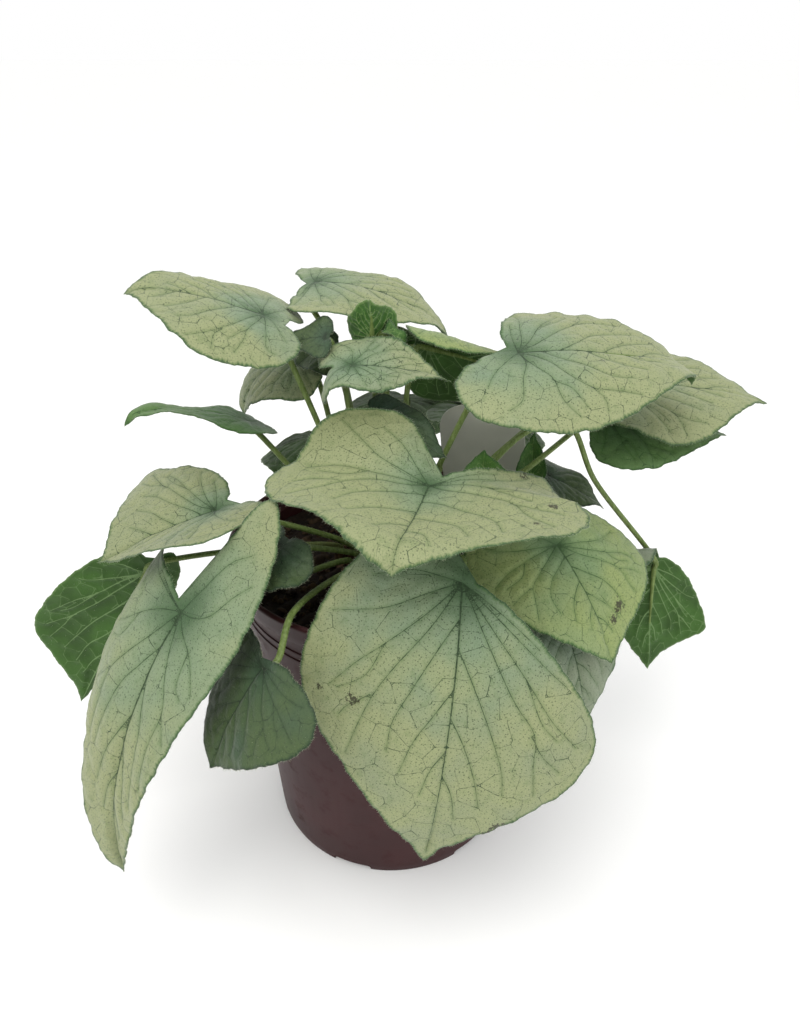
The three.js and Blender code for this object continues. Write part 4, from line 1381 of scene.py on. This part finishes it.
def pot_profile():
    """Radius and height round the wall: the foot, the outer side with two rings, the band, the inside."""
    inside_band = RIM_RADIUS - 0.001 - POT_WALL
    outer = [(0, 0.0008), (0.03, 0.0008), (0.052, 0.0008), (0.0605, 0.0004), (0.0655, 0.0)]
    outer += [(FOOT_RADIUS - 0.0012, 0.0), (FOOT_RADIUS - 0.0004, 0.0004), (FOOT_RADIUS, 0.0014)]
    outer += [(wall_radius(z), z) for z in np.linspace(0.006, 0.150, 18)]
    for z in (0.1535, 0.1585):
        proud = wall_radius(z) + 0.0005
        outer += [(wall_radius(z), z), (proud, z + 0.0004), (proud, z + 0.0012)]
        outer += [(wall_radius(z), z + 0.0016)]
    outer += [(BAND_FOOT_RADIUS - 0.0002, BAND_FOOT - 0.001), (BAND_FOOT_RADIUS + 0.0006, BAND_FOOT)]
    outer += [(RIM_RADIUS - 0.0026, BAND_FOOT + 0.0006), (RIM_RADIUS - 0.0018, BAND_FOOT + 0.0011)]
    outer += [(RIM_RADIUS - 0.0015, BAND_FOOT + 0.002), (RIM_RADIUS - 0.0009, 0.1745)]
    outer += [(RIM_RADIUS - 0.0003, 0.1793)]
    outer += [(RIM_RADIUS, POT_HEIGHT - 0.0016), (RIM_RADIUS - 0.0002, POT_HEIGHT - 0.0007)]
    outer += [(RIM_RADIUS - 0.0008, POT_HEIGHT - 0.0001), (RIM_RADIUS - 0.0015, POT_HEIGHT)]
    inner = [(inside_band + 0.0006, POT_HEIGHT - 0.0003), (inside_band + 0.0002, POT_HEIGHT - 0.0012)]
    inner += [(inside_band - 0.0008, BAND_FOOT + 0.003), (inside_band - 0.0016, BAND_FOOT + 0.0021)]
    inner += [(inner_radius(BAND_FOOT) + 0.0004, BAND_FOOT + 0.0016), (inner_radius(BAND_FOOT), BAND_FOOT)]
    inner += [(inner_radius(z), z) for z in np.linspace(0.155, FLOOR_HEIGHT + 0.002, 12)]
    inner += [(inner_radius(FLOOR_HEIGHT) - 0.001, FLOOR_HEIGHT), (0.04, FLOOR_HEIGHT), (0, FLOOR_HEIGHT)]
    return outer + inner


def cutter(points, faces):
    mesh = bpy.data.meshes.new("cutter")
    mesh.from_pydata(np.asarray(points).tolist(), [], faces)
    tool = bpy.data.objects.new("cutter", mesh)
    bpy.context.scene.collection.objects.link(tool)
    return tool


def bar(near, far):
    """Points and faces of a bar between two outlines of equally many places."""
    n = len(near)
    sides = [(i, (i + 1) % n, (i + 1) % n + n, i + n) for i in range(n)]
    return near + far, [tuple(range(n))[::-1], tuple(range(n, 2 * n)), *sides]


def notch_shape(angle):
    """An arched bar laid from inside the foot to outside it, at an angle round the pot."""
    half = NOTCH_WIDTH / 2
    arch = [(-half, -0.002), (half, -0.002)]
    corner_of_arch = [(half, 0.0015), (half - 0.0005, 0.0005), (half - 0.0015, 0.0)]
    arch += [(x, NOTCH_HEIGHT - drop) for x, drop in corner_of_arch]
    arch += [(-x, NOTCH_HEIGHT - drop) for x, drop in corner_of_arch[::-1]]
    c, s = math.cos(angle), math.sin(angle)
    return bar(*([(c * r - s * y, s * r + c * y, z) for y, z in arch] for r in NOTCH_REACH))


def drain_shape(angle):
    x, y = DRAIN_RING * math.cos(angle), DRAIN_RING * math.sin(angle)
    turns = np.arange(DRAIN_SIDES) * 2 * math.pi / DRAIN_SIDES
    ring = [(x + DRAIN_RADIUS * math.cos(turn), y + DRAIN_RADIUS * math.sin(turn)) for turn in turns]
    return bar(*([(*place, z) for place in ring] for z in DRAIN_REACH))


def cut(piece, tools):
    for tool in tools:
        boolean = piece.modifiers.new("cut", "BOOLEAN")
        boolean.operation = "DIFFERENCE"
        boolean.solver = "EXACT"
        boolean.object = tool
    bpy.context.view_layer.update()
    made = bpy.data.meshes.new_from_object(piece.evaluated_get(bpy.context.evaluated_depsgraph_get()))
    piece.modifiers.clear()
    piece.data = made
    for tool in tools:
        bpy.data.objects.remove(tool)


def pot_plastic():
    finish = Finish("maroon pot plastic")
    place = finish.object_place()
    clouds = finish.noise(place, 22.0, 3.0)
    fine = finish.noise(place, 1400.0, 2.0)
    flow = finish.noise(place * (1.0, 1.0, 0.06), 260.0, 3.0)
    height = finish.node("ShaderNodeSeparateXYZ", {}, {"Vector": place}, "Z")
    colour = finish.mix(finish.step(clouds, 0.3, 0.75), tint("331819"), tint("3d1d1e"))
    dust = finish.step(finish.noise(place, 95.0, 4.0, 0.65), 0.5, 0.8)
    low = finish.step(height, 0.02, 0.0) * 0.3
    colour = finish.mix(dust * (0.06 + low * 0.3), colour, tint("5c4742"))
    scuffs = finish.step(finish.noise(place * (1.0, 1.0, 6.0), 120.0, 4.0, 0.7), 0.66, 0.8)
    colour = finish.mix(scuffs * 0.16, colour, tint("5a4444"))
    relief = finish.relief(fine * 0.4 + flow * 0.6, 0.00012, 0.5)
    return finish.close(
        Base_Color=colour, Roughness=0.4 + dust * 0.25 + scuffs * 0.1 + flow * 0.08, Normal=relief,
        Specular_IOR_Level=0.2,
    )


pot_points, pot_faces = swept(pot_profile(), 144)
pot = make_piece("nursery_pot", pot_points, pot_faces, [pot_plastic()], "pot_plastic", "pot")
notch_step = 2 * math.pi / FOOT_NOTCHES
notch_angles = [(i + 0.5) * notch_step + math.radians(NOTCH_TURN) for i in range(FOOT_NOTCHES)]
notches = [cutter(*notch_shape(angle)) for angle in notch_angles]
drains = [cutter(*drain_shape(i * 2 * math.pi / DRAIN_HOLES)) for i in range(DRAIN_HOLES)]
cut(pot, notches + drains)
pot.data.set_sharp_from_angle(angle=math.radians(38))
print("the pot has", len(pot.data.polygons), "faces after", FOOT_NOTCHES + DRAIN_HOLES, "cuts")

# %% [markdown]
# ## The compost
# Potting compost is dark, loose and lumpy, and its colour is painted darker still as shade inside the pot.
# Its surface is the imported one with rougher noise added, and crumbs and bits of bark lie on it. Each crumb
# is a small ball of faces pushed out of round, so none looks like another.

# %% Compost mesh
COMPOST_TOP = 0.164
COMPOST_CLEAR = 0.0006
CRUMB_RING = (0.031, 0.074)
BARK_RING = (0.031, 0.072)


def bumps(x, y, scale, seed, octaves=4):
    """Smooth noise from sums of turned waves, about -1 to 1."""
    chance = np.random.default_rng(seed)
    total = np.zeros_like(x)
    for octave in range(octaves):
        for _ in range(4):
            way = chance.uniform(0, 2 * math.pi)
            wave = 2 * math.pi * (x * math.cos(way) + y * math.sin(way)) * 2**octave / scale
            total += np.sin(wave + chance.uniform(0, 6.3)) * 0.5**octave
    return total / 4


def compost_height(x, y):
    r = np.hypot(x, y)
    mound = 0.004 * np.exp(-((r / 0.05) ** 4))
    lumps = 0.0009 * np.sin(310 * x + 1) * np.sin(270 * y + 2) + 0.0006 * np.sin(620 * x - 550 * y)
    return COMPOST_TOP + 0.0005 + mound + lumps + 0.0007 * bumps(x, y, 0.012, 5)


def compost_mesh():
    sides, rings = 220, 60
    reach = inner_radius(COMPOST_TOP) - COMPOST_CLEAR
    angles = np.arange(sides) * 2 * math.pi / sides
    points = [np.array([[0, 0, compost_height(np.zeros(1), np.zeros(1))[0]]])]
    for ring in range(1, rings + 1):
        level = ring_at(reach * ring / rings, 0.0, angles)
        level[:, 2] = compost_height(level[:, 0], level[:, 1])
        points.append(level)
    for z in (0.12, 0.06, FLOOR_HEIGHT + SEAT_GAP):
        points.append(ring_at(inner_radius(z) - COMPOST_CLEAR, z, angles))
    points.append(np.array([[0, 0, FLOOR_HEIGHT + SEAT_GAP]]))
    points = np.vstack(points)
    faces = [(0, 1 + j, 1 + (j + 1) % sides) for j in range(sides)]
    faces += bands(rings + 3, sides, first=1, turned=True)
    last, end = 1 + (rings + 2) * sides, len(points) - 1
    faces += [(end, last + (j + 1) % sides, last + j) for j in range(sides)]
    return points, faces


def round_ball():
    """Points and triangles of a ball of radius 1, from Blender's own icosphere."""
    shape = bmesh.new()
    bmesh.ops.create_icosphere(shape, subdivisions=2, radius=1.0)
    points = np.array([tuple(vertex.co) for vertex in shape.verts])
    faces = np.array([[vertex.index for vertex in face.verts] for face in shape.faces])
    shape.free()
    return points, faces


def crumbs(count, sizes, stretch, place_of, chance):
    """Many small balls, each pushed out of round, stretched, turned and set at a place."""
    ball, triangles = round_ball()
    bits = []
    for _ in range(count):
        size = chance.uniform(*sizes)
        rough = 1 + 0.28 * np.sin(ball @ chance.normal(scale=2.2, size=3) + chance.uniform(0, 6.3))
        rough += 0.15 * np.sin(ball @ chance.normal(scale=5.0, size=3) + chance.uniform(0, 6.3))
        lump = ball * rough[:, None] * (size * np.array([stretch, 1.0, chance.uniform(0.45, 0.8)]))
        turn, _ = np.linalg.qr(chance.normal(size=(3, 3)) * 0.4 + np.eye(3))
        spin = chance.uniform(0, 2 * math.pi)
        c, s = math.cos(spin), math.sin(spin)
        lump = lump @ turn.T @ np.array([[c, s, 0], [-s, c, 0], [0, 0, 1]])
        bits.append((lump + place_of(size), triangles))
    return one_mesh(bits)


def dark_compost_with_painted_shade():
    finish = Finish("potting compost")
    place = finish.object_place()
    lumps = finish.noise(place, 180.0, 5.0, 0.7)
    fibres = finish.noise(place * (1.0, 4.0, 1.0), 700.0, 3.0, 0.6)
    # The compost is dark in itself, and these colours are painted darker still as the shade inside the pot.
    colour = finish.mix(finish.step(lumps, 0.35, 0.7), tint("120d0a"), tint("281d16"))
    colour = finish.mix(finish.step(fibres, 0.55, 0.75) * 0.5, colour, tint("463422"))
    relief = finish.relief(lumps + fibres * 0.4, 0.0006, 0.9)
    return finish.close(
        Base_Color=colour, Roughness=0.82 + fibres * 0.15, Normal=relief, Specular_IOR_Level=0.2
    )


def bark_finish():
    finish = Finish("compost crumbs and bark")
    place = finish.object_place()
    cells = {"Vector": place, "Scale": 230.0}
    pieces = finish.node("ShaderNodeTexVoronoi", {"feature": "F1"}, cells, "Color")
    choice = finish.node("ShaderNodeSeparateColor", {}, {"Color": pieces}, "Red")
    fibres = finish.noise(place * (1.0, 5.0, 1.0), 900.0, 3.0, 0.6)
    colour = finish.mix(choice, tint("17100b"), tint("40301f"))
    colour = finish.mix(finish.step(fibres, 0.5, 0.8) * 0.4, colour, tint("5d4932"))
    relief = finish.relief(fibres, 0.0005, 0.9)
    return finish.close(
        Base_Color=colour, Roughness=0.75 + fibres * 0.2, Normal=relief, Specular_IOR_Level=0.25
    )


def on_compost(chance, low, high):
    """A function that gives a crumb of some size its place on the compost, between two radii."""

    def place_of(size):
        r = math.sqrt(chance.uniform(low**2, high**2))
        angle = chance.uniform(0, 2 * math.pi)
        x, y = r * math.cos(angle), r * math.sin(angle)
        z = compost_height(np.array([x]), np.array([y]))[0]
        return np.array([x, y, z + size * 0.15])

    return place_of


compost_points, compost_faces = compost_mesh()
make_piece("potting_compost", compost_points, compost_faces, [dark_compost_with_painted_shade()], "compost", "compost")
chance = np.random.default_rng(11)
small = crumbs(520, (0.0008, 0.0021), 1.3, on_compost(chance, *CRUMB_RING), chance)
bark = crumbs(70, (0.0016, 0.0030), 2.2, on_compost(chance, *BARK_RING), chance)
crumb_points, crumb_faces = one_mesh([small, bark])
make_piece("compost_crumbs", crumb_points, crumb_faces, [bark_finish()], "compost")
print(len(compost_faces), "faces of compost and", len(crumb_faces), "of crumbs")

# %% [markdown]
# ## The crown
# The crown is the short woody rootstock just out of the compost, rough with the feet of old leaves. It is a
# low turned dome whose skin is pushed about with noise, and dry brown scales stand round the stalks.

# %% Crown mesh
CROWN_DEPTH = 0.026
CROWN_PROFILE = [
    (0, CROWN_TOP - CROWN_DEPTH), (0.028, CROWN_TOP - CROWN_DEPTH), (0.030, 0.151), (0.030, 0.159),
    (0.030, 0.164), (0.0297, 0.1665), (0.0285, 0.1688), (0.0265, 0.1706), (0.0235, 0.1721), (0.020, 0.1731),
    (0.0165, 0.1736), (0.013, 0.1738), (0.0095, 0.1739), (0.006, 0.17395), (0.003, 0.174), (0, 0.174),
]


def crown_mesh():
    points, faces = swept(CROWN_PROFILE, 120)
    x, y, z = points.T
    share = np.clip((z - 0.160) / 0.006, 0, 1)
    knobs = bumps(x, y, 0.011, 21, 4) * 0.0011 * share
    angle = np.arctan2(y, x)
    ridges = 0.0007 * np.sin(angle * 23 + 3 * np.sin(angle * 4)) * share * (np.hypot(x, y) > 0.012)
    radial = np.maximum(np.hypot(x, y), 1e-6)
    points[:, 2] += knobs - 0.0006 * share
    points[:, 0] += x / radial * ridges
    points[:, 1] += y / radial * ridges
    return points, faces


def scale_mesh(foot, chance):
    """A dry pointed scale wrapped half round a stalk's foot."""
    across, up = 7, 6
    facing = chance.uniform(0, 2 * math.pi)
    height = chance.uniform(0.006, 0.011)
    points = []
    for face in (0.0, 0.0004):
        for i in range(up):
            rise = i / (up - 1)
            spread = 1.15 * (1 - rise**1.6) + 0.03
            radius = 0.0027 + face + 0.0014 * rise**2
            for j in range(across):
                angle = facing + (j / (across - 1) - 0.5) * 2 * spread
                curl = 0.0004 * math.sin(3 * rise + j)
                points.append((
                    foot[0] + (radius + curl) * math.cos(angle),
                    foot[1] + (radius + curl) * math.sin(angle),
                    CROWN_TOP - 0.003 + height * rise,
                ))
    faces = []
    half = across * up
    for i in range(up - 1):
        for j in range(across - 1):
            a = i * across + j
            faces.append((a, a + across, a + across + 1, a + 1))
            faces.append((a + half, a + 1 + half, a + across + 1 + half, a + across + half))
    loop = list(range(across)) + [i * across + across - 1 for i in range(1, up)]
    loop += [(up - 1) * across + j for j in range(across - 2, -1, -1)]
    loop += [i * across for i in range(up - 2, 0, -1)]
    for a, b in zip(loop, loop[1:] + loop[:1]):
        faces.append((a, b, b + half, a + half))
    return np.array(points), faces


def crown_finish():
    finish = Finish("woody crown")
    place = finish.object_place()
    lumps = finish.noise(place, 160.0, 4.0, 0.65)
    grain = finish.noise(place * (1.0, 1.0, 0.2), 900.0, 4.0, 0.6)
    colour = finish.mix(finish.step(lumps, 0.35, 0.7), tint("2e2117"), tint("5c452f"))
    colour = finish.mix(finish.step(grain, 0.5, 0.75) * 0.5, colour, tint("8a6c49"))
    relief = finish.relief(lumps + grain * 0.6, 0.0006, 0.9)
    return finish.close(
        Base_Color=colour, Roughness=0.75 + grain * 0.2, Normal=relief, Specular_IOR_Level=0.25
    )


WOOD = crown_finish()
crown_points, crown_faces = crown_mesh()
make_piece("woody_crown", crown_points, crown_faces, [WOOD], "crown", "crown")
chance = np.random.default_rng(13)
scales = [scale_mesh(leaf["foot"], chance) for leaf in LEAVES.values() for _ in range(2)]
make_piece("crown_scales", *one_mesh(scales), [WOOD], "crown")
print("the crown carries", len(scales), "dry scales")

# %% [markdown]
# ## The plant label
# A label is stamped from a thin plastic sheet, so its edges are a little rounded and its corners soft. The
# outline is drawn once, laid down in four rings that round its edge, and leaned back as the packed
# one is.

# %% Label mesh
LABEL_PLACE = (0.055, 0.034, 0.166)
LABEL_TURN = -8
LABEL_LEAN = 8
LABEL_TILT = 6
LABEL_WIDTH = 0.046
LABEL_THICKNESS = 0.0008
LABEL_STAKE = 0.014
LABEL_DEPTH = 0.022
LABEL_PANEL_FOOT = 0.024
LABEL_PANEL_HEIGHT = 0.050


def arc(start, first, second, end, count):
    t = np.linspace(0, 1, count)[:, None]
    start, first, second, end = (np.array(point, dtype=float) for point in (start, first, second, end))
    return (1 - t) ** 3 * start + 3 * (1 - t) ** 2 * t * first + 3 * (1 - t) * t**2 * second + t**3 * end


def label_outline():
    half, stake = LABEL_WIDTH / 2, LABEL_STAKE / 2
    top = LABEL_PANEL_FOOT + LABEL_PANEL_HEIGHT
    shoulder, neck = top - 0.014, LABEL_PANEL_FOOT - 0.004
    right = [(0, -LABEL_DEPTH), (stake, 0.008 - LABEL_DEPTH), (stake, neck - 0.0015)]
    foot = LABEL_PANEL_FOOT
    near = (half - 0.002, foot - 0.0002)
    right += arc((stake, neck - 0.0015), (stake, neck), (stake + 0.0008, neck), near, 7).tolist()[1:]
    right += arc(near, (half - 0.0005, foot), (half, foot), (half, foot + 0.002), 5).tolist()[1:]
    right += arc((half, shoulder), (half, top - 0.003), (half - 0.008, top), (0, top), 26).tolist()
    left = [(-x, y) for x, y in right[1:-1]][::-1]
    return np.array([tuple(place) for place in right] + left)


def label_mesh():
    line = label_outline()
    ahead = np.roll(line, -1, axis=0) - np.roll(line, 1, axis=0)
    outward = np.stack([ahead[:, 1], -ahead[:, 0]], 1) / np.linalg.norm(ahead, axis=1)[:, None]
    half = LABEL_THICKNESS / 2
    rings = []
    for inset, depth in ((0.0006, half), (0.00025, half - 0.00003), (0.00005, half - 0.00018), (0.0, 0.0)):
        rings.append(np.column_stack([line - outward * inset, np.full(len(line), depth)]))
    rings += [ring * [1, 1, -1] for ring in rings[2::-1]]
    # The outline is drawn lying down. Its second axis becomes the height.
    points = np.vstack(rings)[:, [0, 2, 1]] * [1, -1, 1]
    n = len(line)
    faces = [tuple(range(n)), tuple(range((len(rings) - 1) * n, len(rings) * n))[::-1]]
    faces += bands(len(rings), n, turned=True)
    turn = Matrix.Rotation(math.radians(LABEL_TURN), 3, "Z")
    turn = turn @ Matrix.Rotation(math.radians(-LABEL_LEAN), 3, "X")
    turn = turn @ Matrix.Rotation(math.radians(-LABEL_TILT), 3, "Y")
    return points @ np.array(turn).T + np.array(LABEL_PLACE), faces


def label_finish():
    finish = Finish("pale label plastic")
    place = finish.object_place()
    clouds = finish.noise(place, 45.0, 3.0)
    fine = finish.noise(place, 1600.0, 2.0)
    height = finish.node("ShaderNodeSeparateXYZ", {}, {"Vector": place}, "Z")
    colour = finish.mix(finish.step(clouds, 0.3, 0.7), tint("a0a195"), tint("adaea1"))
    spots = finish.step(finish.noise(place, 260.0, 4.0, 0.7), 0.35, 0.65)
    soil = finish.step(height + clouds * 0.02, 0.196, 0.168) * spots
    colour = finish.mix(soil * 0.6, colour, tint("6f6250"))
    relief = finish.relief(fine, 0.00006, 0.4)
    roughness = 0.42 + fine * 0.12 + soil * 0.2
    return finish.close(Base_Color=colour, Roughness=roughness, Normal=relief, Specular_IOR_Level=0.45)


label_points, label_faces = label_mesh()
label = make_piece(
    "plant_label_sheet", label_points, label_faces, [label_finish()], "label_plastic", "plant_label"
)
label.data.set_sharp_from_angle(angle=math.radians(50))
print("the label has", len(label_faces), "faces")

# %% [markdown]
# ## Floor and light
# The plant is shown as in a studio: on a wide pale floor in a white surround, under one large soft light
# from above and in front, with a weaker one from the right. The floor glows faintly, so that far away it
# is as bright as the surround and no horizon shows. A soft light comes from a large surface, so area
# lamps are used and not points.

# %% Studio
FLOOR_SIDE = 30.0

floor_mesh = bpy.data.meshes.new("floor")
corner = FLOOR_SIDE / 2
corners = [(-corner, -corner, 0), (corner, -corner, 0), (corner, corner, 0), (-corner, corner, 0)]
floor_mesh.from_pydata(corners, [], [(0, 1, 2, 3)])
floor = bpy.data.objects.new("floor", floor_mesh)
bpy.context.scene.collection.objects.link(floor)
floor_paint = Finish("pale floor")
floor_place = floor_paint.object_place()
speckle = floor_paint.noise(floor_place, 30.0, 2.0)
floor_mesh.materials.append(
    floor_paint.close(
        Base_Color=floor_paint.mix(speckle, tint("f6f6f5"), tint("f8f8f7")), Roughness=0.9,
        Specular_IOR_Level=0.1, Emission_Color=(1.0, 1.0, 1.0, 1.0), Emission_Strength=0.07,
    )
)
floor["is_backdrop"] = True

world = bpy.data.worlds.new("studio")
world.use_nodes = True
world.node_tree.nodes["Background"].inputs["Color"].default_value = (1.0, 1.0, 1.0, 1.0)
world.node_tree.nodes["Background"].inputs["Strength"].default_value = 1.0
bpy.context.scene.world = world


def soft_light(name, place, target, size, watts, colour):
    lamp = bpy.data.lights.new(name, "AREA")
    lamp.shape = "DISK"
    lamp.size = size
    lamp.energy = watts
    lamp.color = colour
    light = bpy.data.objects.new(name, lamp)
    light.location = place
    light.rotation_euler = (Vector(target) - Vector(place)).to_track_quat("-Z", "Y").to_euler()
    bpy.context.scene.collection.objects.link(light)


soft_light("main light", (-0.25, -0.55, 1.35), (0, 0, 0.2), 0.9, 8.0, (1.0, 0.985, 0.96))
soft_light("side light", (1.1, -0.5, 0.9), (0, 0, 0.2), 0.8, 2.0, (0.95, 0.98, 1.0))
bpy.context.scene.view_settings.view_transform = "Standard"
bpy.context.scene.view_settings.look = "None"
print("floor", FLOOR_SIDE, "m wide, two soft lights")

# %% [markdown]
# ## Size and end
# The boxes of the imported model and of the finer plant are printed side by side. The finer plant has
# to stay in the imported model's box.

# %% Sizes and finish
full_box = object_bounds()
for label_text, (low, high) in (("packed", cad_box), ("dressed", full_box)):
    print(label_text, [round(v, 4) for v in low], [round(v, 4) for v in high])
